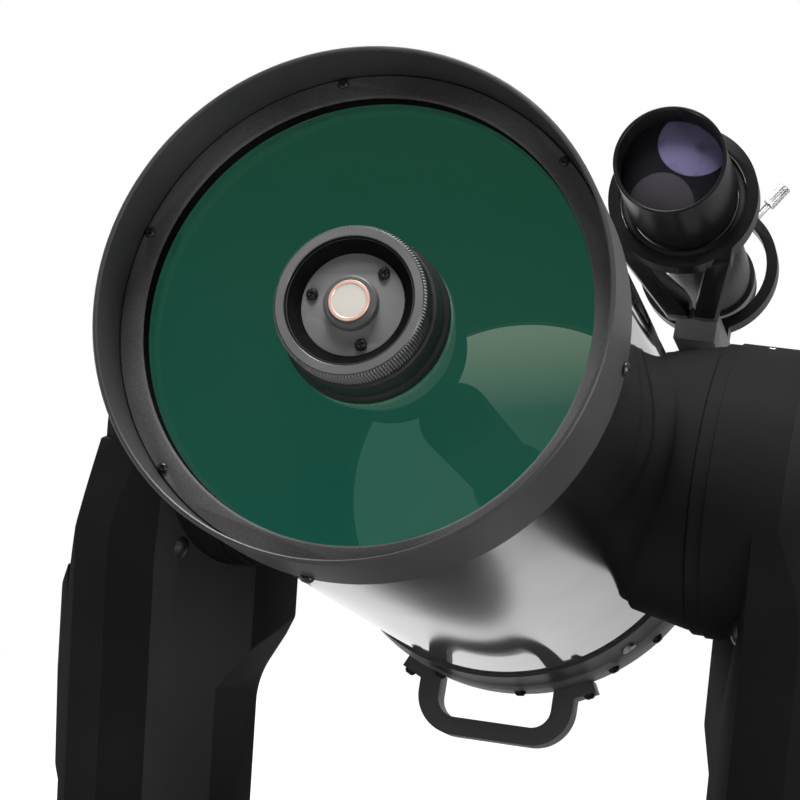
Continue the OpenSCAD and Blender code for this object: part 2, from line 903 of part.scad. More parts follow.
module focus_knob() {
  grooves = 24;
  color(black)
    in_tube()
      rotate([0, 0, focus_angle])
        translate([focus_offset, 0, focus_knob_z - focus_knob_len])
          difference() {
            rotate_extrude()
              polygon([
                [0, 0], [focus_knob_r - 2, 0], [focus_knob_r - 0.5, 1.5],
                [focus_knob_r, focus_knob_len - 2], [focus_knob_r - 2, focus_knob_len],
                [0, focus_knob_len]]);
            translate([0, 0, focus_knob_len - 8])
              cylinder(r = focus_screw_r, h = 8 + eps);
            for (i = [0 : grooves - 1])
              rotate([0, 0, i * 360 / grooves])
                translate([focus_knob_r + 0.3, 0, 3])
                  cylinder(r = 1, h = focus_knob_len - 7, $fn = 16);
          }
}

module focus_housing() {
  color(dark_grey)
    in_tube()
      rotate([0, 0, focus_angle])
        translate([focus_offset, 0, rear_back_z - focus_housing_len])
          difference() {
            cylinder(r1 = focus_housing_r - 2, r2 = focus_housing_r, h = focus_housing_len);
            translate([0, 0, -eps])
              cylinder(r = focus_screw_r + shaft_fit, h = focus_housing_len + 2 * eps);
          }
}

module eyepiece_holder() {
  end_z = port_back_z - holder_len;
  color(black)
    in_tube()
      difference() {
        rotate_extrude()
          polygon([
            [eyepiece_bore_r, end_z], [barrel_r, end_z], [barrel_r, port_back_z - 4],
            [nut_r, port_back_z - 3], [nut_r, port_back_z + nut_len - 4],
            [port_r + seat_fit, port_back_z + nut_len - 4],
            [port_r + seat_fit, port_back_z - seat_fit],
            [eyepiece_bore_r, port_back_z - seat_fit]]);
        radial(90, 0, eyepiece_screw_z)
          cylinder(r = thumb_screw_r + shaft_fit, h = barrel_r + 10);
      }
}

module eyepiece_screw() {
  tip = eyepiece_bore_r + 0.3;
  color(silver)
    in_tube()
      radial(90, tip, eyepiece_screw_z)
        thumbscrew(barrel_r - tip + 3, thumb_head_r, 9);
}

module finder_shoe() {
  color(black)
    in_tube()
      difference() {
        translate([foot_x - shoe_half, 0, shoe_z])
          cube([2 * shoe_half, shoe_top_y, shoe_len]);
        translate([0, 0, shoe_z - eps])
          cylinder(r = rim_r, h = shoe_len + 2 * eps);
        translate([0, -rim_r, shoe_z - eps])
          cube([2 * rim_r, rim_r, shoe_len + 2 * eps]);
      }
}

// Where a leg meets the front ring, in the tube's frame
function leg_place(angle) = [
  finder_x + (bracket_in_r + bracket_wall / 2) * cos(angle),
  finder_y + (bracket_in_r + bracket_wall / 2) * sin(angle)];

module finder_bracket() {
  color(black)
    in_tube()
      difference() {
        union() {
          for (place = [[front_ring_z, front_ring_len], [rear_ring_z, rear_ring_len]])
            translate([finder_x, finder_y, finder_front + place[0] - place[1] / 2])
              cylinder(r = ring_out, h = place[1]);
          // Foot block on the shoe, and the step that the rear ring stands on
          translate([foot_x - foot_half, shoe_top_y, foot_back_z])
            cube([2 * foot_half, foot_top_y - shoe_top_y, foot_front_z - foot_back_z]);
          translate([foot_x - foot_half, shoe_top_y, finder_front + rear_ring_z - rear_ring_len / 2])
            cube([2 * foot_half, finder_y - bracket_in_r + 3 - shoe_top_y, rear_ring_len]);
          // Two legs that spread forward from the block to the front ring
          for (side = [0, 1])
            hull() {
              translate([foot_x + leg_feet[side] - leg_half, foot_top_y - leg_half,
                         foot_front_z - leg_half])
                cube(2 * leg_half);
              translate([leg_place(leg_angles[side])[0] - leg_half,
                         leg_place(leg_angles[side])[1] - leg_half,
                         finder_front + front_ring_z - leg_half])
                cube(2 * leg_half);
            }
        }
        translate([finder_x, finder_y, finder_front + rear_ring_z - 2 * rear_ring_len])
          cylinder(r = bracket_in_r, h = front_ring_z - rear_ring_z + 4 * front_ring_len);
        for (a = [screw_angle, screw_angle + 90, 270])
          translate([finder_x, finder_y, 0])
            radial(a, 0, finder_front + rear_ring_z)
              cylinder(r = thumb_screw_r + shaft_fit, h = ring_out + 4);
      }
}

module finder_o_ring() {
  color(black)
    in_finder()
      translate([0, 0, front_ring_z])
        rotate_extrude()
          translate([o_ring_mid, 0])
            circle(r = o_ring_r, $fn = 32);
}

module finder_tube() {
  wall = 2;
  color(black)
    in_finder()
      rotate_extrude()
        polygon([
          [finder_bore_r, -finder_cell_len + 14], [finder_tube_r - 1.2, -finder_cell_len + 14],
          [finder_tube_r - 1.2, -finder_cell_len], [finder_tube_r, -finder_cell_len],
          [finder_tube_r, finder_neck_z], [finder_rear_r, finder_waist_z],
          [finder_rear_r, finder_tube_end], [finder_rear_r - wall, finder_tube_end],
          [finder_rear_r - wall, finder_waist_z], [finder_bore_r, finder_neck_z]]);
}

module finder_front_cell() {
  thread_r = finder_tube_r - 1.1;
  color(black)
    in_finder()
      rotate_extrude()
        polygon([
          [finder_lens_r + 0.1, finder_lens_z], [finder_lens_r + 0.4, -1],
          [finder_r - 1.4, 0], [finder_r - 0.4, 0], [finder_r, -0.5], [finder_r, -3],
          [finder_r - 0.5, -3.6], [finder_r + finder_flare, -finder_cell_len + 1.2],
          [finder_r + finder_flare - 0.6, -finder_cell_len + run_gap],
          [thread_r, -finder_cell_len + run_gap], [thread_r, -29],
          [finder_lens_r - 2, -29], [finder_lens_r - 2, finder_lens_z - 7],
          [finder_lens_r + 0.1, finder_lens_z - 7]]);
}

module finder_lens() {
  curve = 95;
  color("#5b4a86")
    in_finder()
      intersection() {
        translate([0, 0, finder_lens_z - 7])
          cylinder(r = finder_lens_r, h = 12);
        translate([0, 0, finder_lens_z + 1.5 - curve])
          sphere(r = curve, $fn = 200);
      }
}

module finder_eyepiece() {
  eye_r = finder_rear_r - 1;
  color(black)
    in_finder()
      rotate_extrude()
        polygon([
          [0, finder_tube_end], [finder_rear_r + 2, finder_tube_end],
          [finder_rear_r + 2, finder_tube_end - 8], [eye_r, finder_tube_end - 10],
          [eye_r, eyepiece_end + 6], [eye_r + 2.5, eyepiece_end + 2],
          [eye_r + 1.5, eyepiece_end], [9, eyepiece_end], [7, eyepiece_end + 4],
          [0, eyepiece_end + 4]]);
}

module finder_screw(angle) {
  color(silver)
    in_finder()
      radial(angle, finder_rear_r + screw_tip_gap, rear_ring_z)
        thumbscrew(ring_out + screw_reach - finder_rear_r, aim_head_r, aim_head_len);
}

module finder_screw_a() {
  finder_screw(screw_angle);
}

module finder_screw_b() {
  finder_screw(screw_angle + 90);
}

module finder_plunger() {
  color(silver)
    in_finder()
      radial(270, finder_rear_r + plunger_gap, rear_ring_z)
        union() {
          cylinder(r = thumb_screw_r, h = ring_out - finder_rear_r - plunger_gap + 0.5);
        }
}

// One saddle, on the +X side: a cone on the tube that ends in the trunnion ring
module saddle() {
  groove_x = saddle_face_x - saddle_ring_len;
  difference() {
    on_altitude_axis()
      rotate_extrude()
        polygon([
          [0, saddle_back_x], [saddle_back_r, saddle_back_x],
          [saddle_neck_r, groove_x - 3], [saddle_neck_r, groove_x - 0.8],
          [saddle_neck_r - 1, groove_x], [saddle_ring_r - 0.6, groove_x],
          [saddle_ring_r, groove_x + 0.8], [saddle_ring_r, saddle_face_x],
          [0, saddle_face_x]]);
    in_tube() {
      translate([0, 0, -saddle_neck_r - 1])
        cylinder(r = tube_r, h = 2 * (saddle_neck_r + 1));
      translate([0, 0, rear_flare_z])
        cylinder(r = rear_band_r + run_gap, h = rear_front_z - rear_flare_z + run_gap);
      saddle_screw_holes();
    }
    on_altitude_axis(shaft_in_x)
      cylinder(r = shaft_r + 0.02, h = 60);
  }
}

module right_saddle() {
  color(black)
    saddle();
}

module left_saddle() {
  color(black)
    mirror([1, 0, 0])
      saddle();
}

// Places of the screws that hold the saddles from inside the tube
module saddle_screw_places() {
  outer = saddle_screw_place + rim_screw_head_r;
  seat_x = sqrt(tube_in_r * tube_in_r - outer * outer) - 0.05;
  for (side = [0, 180])
    rotate([0, 0, side])
      for (sy = [-1, 1])
        for (sz = [-1, 1])
          translate([seat_x, sy * saddle_screw_place, sz * saddle_screw_place])
            rotate([0, -90, 0])
              children();
}

module saddle_screw_holes() {
  saddle_screw_places()
    screw_hole(rim_screw_r, saddle_screw_len);
}

module altitude_shaft() {
  on_altitude_axis(shaft_in_x)
    difference() {
      cylinder(r = shaft_r, h = shaft_end_x - shaft_in_x);
      translate([0, 0, shaft_end_x - shaft_in_x - 18])
        cylinder(r = clutch_shaft_r + shaft_fit, h = 20);
    }
}

module altitude_shafts() {
  color(steel)
    for (side = [0, 1])
      mirror([side, 0, 0])
        altitude_shaft();
}

module altitude_bearings() {
  color(steel)
    for (side = [0, 1])
      mirror([side, 0, 0])
        on_altitude_axis()
          ring(shaft_r + shaft_fit, bearing_r, bearing_x, bearing_x + bearing_len);
}

// A toothed disc, drawn with its bottom at the origin
module toothed_wheel(bore_r, length) {
  step = 360 / wheel_teeth;
  difference() {
    linear_extrude(length)
      polygon([
        for (i = [0 : wheel_teeth - 1], half = [0, 1])
          let (r = half == 0 ? wheel_r : wheel_r - tooth_depth, a = (i + half / 2) * step)
            [r * cos(a), r * sin(a)]]);
    translate([0, 0, -eps])
      cylinder(r = bore_r, h = length + 2 * eps);
  }
}

// A worm along +Z, centred on the origin
module worm_shape() {
  turns = floor(worm_len / worm_pitch);
  start = -turns * worm_pitch / 2;
  stub = 9;
  rotate_extrude()
    polygon(concat(
      [[0, start - stub], [worm_shaft_r, start - stub], [worm_shaft_r, start]],
      [for (i = [0 : turns - 1], half = [0, 1])
        [half == 0 ? worm_r - tooth_depth : worm_r, start + (i + half / 2) * worm_pitch]],
      [[worm_r - tooth_depth, -start], [worm_shaft_r, -start], [worm_shaft_r, stub - start],
       [0, stub - start]]));
}

// Cradle with a motor under it: drawn for a worm along +Y whose axis is at the origin,
// with the wheel above it in +Z and the seat of the cradle at +X = seat
module worm_drive(seat, motor_len) {
  cheek = 10;
  half = worm_len / 2 + 2;
  thick = 2 * (worm_r + 2);
  difference() {
    union() {
      for (side = [-1, 1])
        translate([seat, side > 0 ? half : -half - cheek, -worm_r - 5])
          cube([worm_shaft_r + 4 - seat, cheek, worm_r + 10]);
      translate([seat, -half - cheek, -worm_r - 10])
        cube([-seat + 8, 2 * half + 2 * cheek, 6]);
      translate([seat + thick / 2 + 1, half - 6, -worm_r - 10 - motor_len])
        cylinder(r = thick / 2 + 1, h = motor_len + eps);
    }
    translate([0, -100, 0])
      rotate([-90, 0, 0])
        cylinder(r = worm_shaft_r + shaft_fit, h = 200);
  }
}

module altitude_wheel() {
  color("#b08d3c")
    on_altitude_axis(wheel_x)
      toothed_wheel(shaft_r + shaft_fit, wheel_len);
}

module altitude_worm_place() {
  translate([wheel_x + wheel_len / 2, 0, axis_height - worm_drop])
    children();
}

module altitude_worm() {
  color(steel)
    altitude_worm_place()
      rotate([-90, 0, 0])
        worm_shape();
}

module altitude_motor() {
  color(dark_grey)
    altitude_worm_place()
      worm_drive(wheel_cavity_x - wheel_x - wheel_len / 2, altitude_motor_len);
}

module altitude_clutch_knob() {
  grooves = 20;
  color(black)
    on_altitude_axis()
      difference() {
        union() {
          translate([0, 0, shaft_end_x - 14])
            cylinder(r = clutch_shaft_r, h = clutch_seat_x - shaft_end_x + 15);
          translate([0, 0, clutch_seat_x + run_gap])
            rotate_extrude()
              polygon([
                [0, 0], [clutch_r - 3, 0], [clutch_r, 3], [clutch_r, clutch_len - 4],
                [clutch_r - 4, clutch_len], [0, clutch_len]]);
        }
        for (i = [0 : grooves - 1])
          rotate([0, 0, i * 360 / grooves])
            translate([clutch_r + 1, 0, clutch_seat_x + 4])
              cylinder(r = 2.2, h = clutch_len, $fn = 24);
      }
}

// Side outline of an arm, drawn in the plane across the altitude axis:
// first axis to the front, second axis up, origin on the altitude axis
module arm_side(inset) {
  circle(r = housing_r - inset);
  polygon([
    [housing_r - inset, 0], [arm_half - inset, -60], [arm_half - inset, foot_up],
    [-arm_half + inset, foot_up], [-arm_half + inset, -60], [-housing_r + inset, 0]]);
}

// Extrudes a side outline along +X between two places
module along_x(x0, x1) {
  translate([x0, 0, axis_height])
    rotate([90, 0, -90])
      mirror([0, 0, 1])
        linear_extrude(x1 - x0)
          children();
}

// Extrudes a front outline, drawn as across and up from the altitude axis, along Y
module along_y(y0, y1) {
  translate([0, y1, axis_height])
    rotate([90, 0, 0])
      linear_extrude(y1 - y0)
        children();
}

// Front outline of the lower arm casting
module arm_front() {
  inner = [
    [seam_x, 0], [arm_in, 0], [arm_in, inner_slope_top], [arm_low_in, inner_slope_end],
    [arm_low_in, foot_up], [seam_low_x, foot_up]];
  polygon(concat(
    rounded(inner, [0, 0, inner_top_round, inner_low_round, 0, 0]),
    [for (i = [0 : bend_steps - 1]) seam_curve[bend_steps - i]]));
}

// Plan of the ridge that carries the slanted face on down to the foot
module arm_ridge() {
  polygon([
    [arm_in, -ridge_front_y], [arm_low_in, ridge_back_y], [arm_low_in + eps, ridge_back_y],
    [arm_low_in + eps, -ridge_front_y]]);
}

// Plan of the lower arm casting: a slanted inner face runs forward to the front edge
module arm_plan() {
  chamfer = 8;
  polygon([
    [arm_in, -crease_y], [front_edge_in, -arm_half], [seam_low_x + 1, -arm_half],
    [seam_low_x + 1, arm_half], [arm_in + chamfer, arm_half], [arm_in, arm_half - chamfer]]);
}

module arm() {
  difference() {
    union() {
      on_altitude_axis(arm_in)
        cylinder(r = housing_r, h = seam_x - arm_in);
      intersection() {
        along_x(arm_in, seam_low_x)
          arm_side(0);
        union() {
          along_y(-arm_half - 1, arm_half + 1)
            arm_front();
          translate([0, 0, cross_top_z])
            linear_extrude(axis_height + inner_slope_top - cross_top_z)
              arm_ridge();
        }
        translate([0, 0, cross_top_z])
          linear_extrude(axis_height - cross_top_z)
            arm_plan();
      }
    }
    on_altitude_axis(arm_in - eps)
      cylinder(r = bearing_lip_r, h = 10);
    on_altitude_axis(bearing_x)
      cylinder(r = bearing_r + 0.02, h = bearing_len + 10);
    on_altitude_axis(wheel_cavity_x)
      cylinder(r = wheel_cavity_r, h = seam_low_x - wheel_cavity_x + eps);
    translate([wheel_cavity_x, -drive_half, axis_height + pocket_up])
      cube([seam_low_x - wheel_cavity_x + eps, 2 * drive_half, -pocket_up]);
    on_altitude_axis(seam_x)
      cylinder(r = housing_r + seat_fit, h = seam_low_x - seam_x + eps);
    translate([arm_low_in + arm_wall, -pocket_half, cross_top_z + arm_floor])
      cube([
        seam_low_x - arm_low_in, 2 * pocket_half, axis_height + pocket_up - cross_top_z - arm_floor]);
    slant_place()
      screw_hole(arm_screw_r, arm_screw_len);
    top_place()
      screw_hole(arm_screw_r, arm_screw_len);
  }
}

module right_arm() {
  color(black)
    arm();
}

module left_arm() {
  color(black)
    mirror([1, 0, 0])
      arm();
}

// Places a shape on the slanted inner face, with its +Z out of the face
module slant_place() {
  slant = atan2(front_edge_in - arm_in, arm_half - crease_y);
  translate([
    arm_in + slant_along * (front_edge_in - arm_in), -slant_y, axis_height + slant_screw_up])
    rotate([0, 0, 180 + slant])
      rotate([0, 90, 0])
        children();
}

// Places a shape on top of a housing
module top_place() {
  translate([top_screw_x, 0, axis_height + housing_r])
    children();
}

// A domed cap on the slanted face and a set screw on top of each housing
module arm_screws() {
  cap_sphere = 9;
  cap_h = 2.5;
  cap_r2 = sqrt(cap_sphere * cap_sphere - (cap_sphere - cap_h) * (cap_sphere - cap_h));
  color(steel)
    for (side = [0, 1])
      mirror([side, 0, 0]) {
        slant_place()
          union() {
            intersection() {
              translate([0, 0, cap_h - cap_sphere])
                sphere(r = cap_sphere, $fn = 64);
              cylinder(r = cap_r2 + 1, h = cap_h + 1);
            }
            translate([0, 0, -arm_screw_len])
              cylinder(r = arm_screw_r, h = arm_screw_len + 0.5);
          }
        top_place()
          difference() {
            translate([0, 0, -arm_screw_len])
              cylinder(r = arm_screw_r, h = arm_screw_len);
            translate([-arm_screw_r * 0.8, -0.4, -0.8])
              cube([arm_screw_r * 1.6, 0.8, 2]);
          }
      }
}

// Front outline of the outer cover, drawn down from the altitude axis
module cover_front(inset) {
  out = cover_low_x - inset;
  low = foot_up + inset;
  outside = bend(cover_x - inset, out, cover_bend);
  polygon(concat(
    seam_curve, [[seam_low_x, low], [out, low]],
    [for (i = [0 : bend_steps]) outside[bend_steps - i]]));
}

module cover_plan(inset) {
  out = cover_low_x + pad_out - inset;
  half = arm_half - inset;
  slant = cover_edge + pad_out;
  polygon([
    [seam_x - 1, -half], [out - slant, -half], [out, -half + slant], [out, half - slant],
    [out - slant, half], [seam_x - 1, half]]);
}

module cover_body(inset) {
  round = 7;
  on_altitude_axis()
    rotate_extrude()
      polygon([
        [0, seam_x], [housing_r - inset, seam_x], [housing_r - inset, cover_x - inset - round],
        [housing_r - inset - round, cover_x - inset], [0, cover_x - inset]]);
  intersection() {
    along_x(seam_x, cover_low_x + pad_out)
      arm_side(inset);
    along_y(-arm_half - 1, arm_half + 1)
      cover_front(inset);
    translate([0, 0, cross_top_z])
      linear_extrude(axis_height - cross_top_z)
        cover_plan(inset);
  }
}

// Raised grip pad on the outside of a cover
module cover_pad() {
  out = cover_low_x + pad_out;
  outline = [
    [cover_low_x - 1, pad_top_up], [out - 1, pad_top_up - 13], [out, (pad_top_up + pad_low_up) / 2],
    [out - 2, pad_low_up + 9], [cover_low_x - 1, pad_low_up]];
  intersection() {
    along_y(-arm_half, arm_half)
      polygon(rounded(outline, [0, 12, 0, 8, 0]));
    translate([0, 0, cross_top_z])
      linear_extrude(axis_height - cross_top_z)
        cover_plan(0);
  }
}

module arm_cover() {
  difference() {
    union() {
      cover_body(0);
      cover_pad();
    }
    cover_body(arm_wall);
  }
}

module right_arm_cover() {
  color(black)
    difference() {
      union() {
        arm_cover();
        on_altitude_axis(cover_x - 1)
          cylinder(r = clutch_seat_r, h = clutch_seat_x - cover_x + 1);
      }
      on_altitude_axis(seam_x)
        cylinder(r = clutch_shaft_r + shaft_fit, h = clutch_seat_x - seam_x + eps);
    }
}

module left_arm_cover() {
  color(black)
    mirror([1, 0, 0])
      arm_cover();
}

module fork_cross() {
  edge = 6;
  color(black)
    difference() {
      union() {
        translate([0, 0, cross_bottom_z])
          intersection() {
            rotate_extrude()
              polygon([
                [0, 0], [cross_half, 0], [cross_half, cross_height - edge],
                [cross_half - edge, cross_height], [0, cross_height]]);
            translate([-cross_half, -cross_half_y, 0])
              cube([2 * cross_half, 2 * cross_half_y, cross_height]);
          }
        translate([0, 0, cross_bottom_z])
          rotate_extrude()
            polygon([
              [0, 0], [cross_round_r, 0], [cross_round_r, cross_height - 14],
              [cross_round_r - edge, cross_height - 8], [0, cross_height - 8]]);
        translate([0, 0, hub_bottom_z])
          cylinder(r = hub_r, h = cross_bottom_z - hub_bottom_z + eps);
      }
      translate([azimuth_clutch_x, azimuth_clutch_y, cross_bottom_z + 10])
        cylinder(r = clutch_shaft_r + shaft_fit, h = cross_height);
      // Hollow underside, round the hub and out into both ends
      difference() {
        translate([0, 0, cross_bottom_z - eps])
          union() {
            cylinder(r = cross_round_r - cross_wall, h = cross_height - 8 - cross_skin + eps);
            intersection() {
              cylinder(r = cross_half - cross_wall, h = cross_height - cross_skin + eps);
              translate([-cross_half, -cross_half_y + cross_wall, 0])
                cube([2 * cross_half, 2 * (cross_half_y - cross_wall), cross_height]);
            }
          }
        translate([0, 0, cross_bottom_z - 2])
          cylinder(r = azimuth_bearing_r, h = cross_height + 4);
      }
    }
}

// Nut that keeps the hub in its bearing
module azimuth_nut() {
  top_z = azimuth_wheel_z - run_gap;
  color(steel)
    ring(hub_r + 0.02, hub_r + azimuth_nut_wall, top_z - azimuth_nut_len, top_z);
}

module azimuth_clutch_knob() {
  grooves = 16;
  color(black)
    translate([azimuth_clutch_x, azimuth_clutch_y, cross_top_z + run_gap])
      difference() {
        union() {
          translate([0, 0, -22])
            cylinder(r = clutch_shaft_r, h = 23);
          rotate_extrude()
            polygon([
              [0, 0], [azimuth_clutch_r - 2, 0], [azimuth_clutch_r, 2],
              [azimuth_clutch_r, azimuth_clutch_len - 3],
              [azimuth_clutch_r - 3, azimuth_clutch_len], [0, azimuth_clutch_len]]);
        }
        for (i = [0 : grooves - 1])
          rotate([0, 0, i * 360 / grooves])
            translate([azimuth_clutch_r + 0.8, 0, 4])
              cylinder(r = 2, h = azimuth_clutch_len, $fn = 24);
      }
}

module azimuth_bearing() {
  color(steel)
    ring(hub_r + shaft_fit, azimuth_bearing_r, sleeve_bottom_z, base_height);
}

module drive_base() {
  color(black)
    difference() {
      union() {
        difference() {
          translate([0, 0, plate_thick])
            rotate_extrude()
              polygon([
                [0, 0], [base_r, 0], [base_r, base_height - plate_thick - 6],
                [base_r - 6, base_height - plate_thick], [0, base_height - plate_thick]]);
          translate([0, 0, plate_thick - eps])
            cylinder(r = base_r - base_wall, h = base_height - base_wall - plate_thick + eps);
        }
        translate([0, 0, sleeve_bottom_z])
          cylinder(r = azimuth_bearing_r + sleeve_wall, h = base_height - sleeve_bottom_z - 1);
        // Flat carrier for the switch panel
        translate([-panel_half - panel_edge, panel_y, panel_low_z - panel_edge])
          cube([2 * (panel_half + panel_edge), base_wall + 3, panel_height + 2 * panel_edge]);
      }
      translate([0, 0, sleeve_bottom_z - eps])
        cylinder(r = azimuth_bearing_r + 0.02, h = base_height - sleeve_bottom_z + 2 * eps);
      // Recessed panel, with the switch window and the power inlet
      translate([-panel_half, -base_r - eps, panel_low_z])
        cube([2 * panel_half, panel_depth + eps, panel_height]);
      translate([switch_x - switch_half_x - run_gap, panel_y - eps, switch_z - switch_half_z - run_gap])
        cube([2 * (switch_half_x + run_gap), switch_cut, 2 * (switch_half_z + run_gap)]);
      translate([switch_x, panel_y + switch_deep, switch_z - switch_half_z - 3])
        cylinder(r = switch_pin_r + shaft_fit, h = 2 * switch_half_z + 6);
      translate([inlet_x, panel_y - eps, switch_z])
        rotate([-90, 0, 0])
          cylinder(r = inlet_r, h = inlet_len + eps);
    }
}

module azimuth_wheel() {
  color("#b08d3c")
    translate([0, 0, azimuth_wheel_z])
      toothed_wheel(hub_r + shaft_fit, azimuth_wheel_len);
}

module azimuth_worm_place() {
  translate([0, worm_drop, azimuth_worm_z])
    rotate([0, 0, 90])
      rotate([0, -90, 0])
        children();
}

module azimuth_worm() {
  color(steel)
    azimuth_worm_place()
      rotate([-90, 0, 0])
        worm_shape();
}

module azimuth_motor() {
  color(dark_grey)
    azimuth_worm_place()
      worm_drive(plate_thick - azimuth_worm_z, azimuth_motor_len);
}

module base_plate() {
  color(dark_grey)
    difference() {
      cylinder(r = base_r - 2, h = plate_thick);
      translate([0, 0, -eps])
        cylinder(r = pivot_hole_r, h = plate_thick + 2 * eps);
      for (i = [0 : 2])
        rotate([0, 0, 90 + i * 120])
          translate([tripod_circle / 2, 0, -eps])
            cylinder(r = tripod_hole_r, h = plate_thick + 2 * eps);
    }
}

// Rocker switch on its own pin, standing out of the panel's window
module power_switch() {
  tilt = 20;
  color(dark_grey)
    translate([switch_x, panel_y + switch_deep, switch_z - switch_half_z])
      union() {
        difference() {
          cylinder(r = switch_half_x, h = 2 * switch_half_z);
          for (side = [-1, 1])
            rotate([0, 0, side * tilt])
              translate([-20, -switch_half_x * 2 + 1, -eps])
                cube([40, switch_half_x, 2 * switch_half_z + 2 * eps]);
        }
        translate([0, 0, -2.5])
          cylinder(r = switch_pin_r, h = 2 * switch_half_z + 5);
      }
}

optical_tube();
front_cell();
corrector_plate();
corrector_spacers();
retaining_ring();
retaining_ring_screws();
front_cell_screws();
secondary_flange();
knurled_ring();
secondary_holder();
secondary_plate();
centring_screws();
secondary_cap();
secondary_baffle();
secondary_mirror();
rear_cell();
tube_screws();
rear_plug();
rear_handle();
baffle_tube();
primary_mirror();
mirror_carrier();
focus_screw();
focus_knob();
focus_housing();
eyepiece_holder();
eyepiece_screw();
finder_shoe();
finder_bracket();
finder_o_ring();
finder_tube();
finder_front_cell();
finder_lens();
finder_eyepiece();
finder_screw_a();
finder_screw_b();
finder_plunger();
left_saddle();
right_saddle();
altitude_shafts();
altitude_bearings();
altitude_wheel();
altitude_worm();
altitude_motor();
altitude_clutch_knob();
left_arm();
right_arm();
left_arm_cover();
right_arm_cover();
arm_screws();
fork_cross();
azimuth_clutch_knob();
azimuth_nut();
azimuth_bearing();
drive_base();
azimuth_wheel();
azimuth_worm();
azimuth_motor();
base_plate();
power_switch();
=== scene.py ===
# %% [markdown]
# # A mirror telescope on its fork mount
# The solids of the telescope come in as a fixed frame, in metres, each at its real place.
# This lesson dresses them: it mixes the finishes out of shader nodes, models the pieces whose edges
# and surfaces need more than the bare solids give, and lights a small studio.

# %% Load the solids
import json
import math

import bpy
from mathutils import Matrix, Vector

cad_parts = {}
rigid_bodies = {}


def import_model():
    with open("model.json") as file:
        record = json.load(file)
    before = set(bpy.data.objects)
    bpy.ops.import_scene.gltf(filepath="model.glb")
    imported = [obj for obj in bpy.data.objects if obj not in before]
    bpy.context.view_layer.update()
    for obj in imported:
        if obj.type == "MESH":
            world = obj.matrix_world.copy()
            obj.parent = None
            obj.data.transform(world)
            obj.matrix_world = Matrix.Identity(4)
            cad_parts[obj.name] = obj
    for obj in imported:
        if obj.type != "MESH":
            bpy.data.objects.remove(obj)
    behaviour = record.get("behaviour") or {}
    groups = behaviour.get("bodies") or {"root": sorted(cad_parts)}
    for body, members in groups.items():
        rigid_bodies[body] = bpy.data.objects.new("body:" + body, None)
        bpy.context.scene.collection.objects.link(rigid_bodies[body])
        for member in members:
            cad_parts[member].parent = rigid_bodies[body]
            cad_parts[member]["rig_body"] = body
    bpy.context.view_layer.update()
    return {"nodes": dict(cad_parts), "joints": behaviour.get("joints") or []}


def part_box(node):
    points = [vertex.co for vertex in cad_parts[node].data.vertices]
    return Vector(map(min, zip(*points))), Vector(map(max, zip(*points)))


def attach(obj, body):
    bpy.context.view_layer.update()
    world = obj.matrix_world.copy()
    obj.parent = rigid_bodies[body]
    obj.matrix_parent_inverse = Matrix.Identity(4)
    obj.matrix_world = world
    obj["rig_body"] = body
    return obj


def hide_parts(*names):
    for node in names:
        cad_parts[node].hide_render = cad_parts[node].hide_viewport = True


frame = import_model()
bpy.ops.object.select_all(action="DESELECT")
scene = bpy.context.scene
scene.view_settings.view_transform = "Standard"
nodes = frame["nodes"]
joints = {joint["name"]: joint for joint in frame["joints"]}
MM = 0.001
print("solids:", len(nodes), "joints:", len(joints))

# %% [markdown]
# ## The tube's own frame
# The tube looks up at a slant, so heights and widths along X, Y and Z say little about it.
# The mirror slides along the optical axis, which gives the forward direction, and the altitude
# shafts give the pivot. From these come a matrix and a few measures in the tube's own directions.


# %% Directions and measures in the tube
def spread(name, direction):
    """Lowest and highest place of a solid along a direction, from the pivot."""
    places = [(vertex.co - pivot).dot(direction) for vertex in nodes[name].data.vertices]
    return min(places), max(places)


def tube_span(name):
    """Back and front of a solid along the tube, its inner and outer radius, in millimetres."""
    back, front = spread(name, forward)
    offsets = [vertex.co - tube_centre for vertex in nodes[name].data.vertices]
    radii = [math.hypot(offset.dot(sideways), offset.dot(upward)) for offset in offsets]
    return back / MM, front / MM, min(radii) / MM, max(radii) / MM


def off_axis(place):
    """The way from the tube's axis straight out to a place."""
    offset = place - tube_centre
    return offset - forward * offset.dot(forward)


forward = Vector(joints["mirror_slide"]["axis"]).normalized()
sideways = Vector((1, 0, 0))
upward = forward.cross(sideways)
pivot = sum(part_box("altitude_shafts"), Vector()) / 2
tube_centre = pivot + upward * sum(spread("corrector_plate", upward)) / 2
tube_frame = Matrix((sideways, upward, forward)).transposed().to_4x4()
tube_frame.translation = tube_centre
print("pivot:", tuple(round(x, 4) for x in pivot))
print("lip radius:", round(tube_span("front_cell")[3], 1), "mm")

# %% [markdown]
# ## The camera
# The camera stands in front of the tube, a little to the right and above it, with a long lens.
# Its place and turn are given from the pivot, so that it follows the stand if that grows taller.

# %% Camera
camera_reach = Vector((0.292, -1.15309, 0.25737))
camera_right = Vector((0.95147, 0.29927, 0.0717)).normalized()
camera_up = Vector((-0.1239, 0.15925, 0.97943)).normalized()
camera_data = bpy.data.cameras.new("camera")
camera_data.sensor_width = 36
camera_data.lens = 99
camera = bpy.data.objects.new("camera", camera_data)
scene.collection.objects.link(camera)
camera_turn = Matrix((camera_right, camera_up, camera_right.cross(camera_up))).transposed()
camera.matrix_world = Matrix.Translation(pivot + camera_reach) @ camera_turn.to_4x4()
scene.camera = camera
print("camera lens:", camera_data.lens, "mm")

# %% [markdown]
# ## Shader sums
# A finish is a small formula: a little grain here, a broad blotch there, mixed into a colour.
# Wiring such a formula by hand takes many lines, so one class wraps a node's output and lets
# Python's own signs add the Math nodes. Colours go through the Mix node instead.


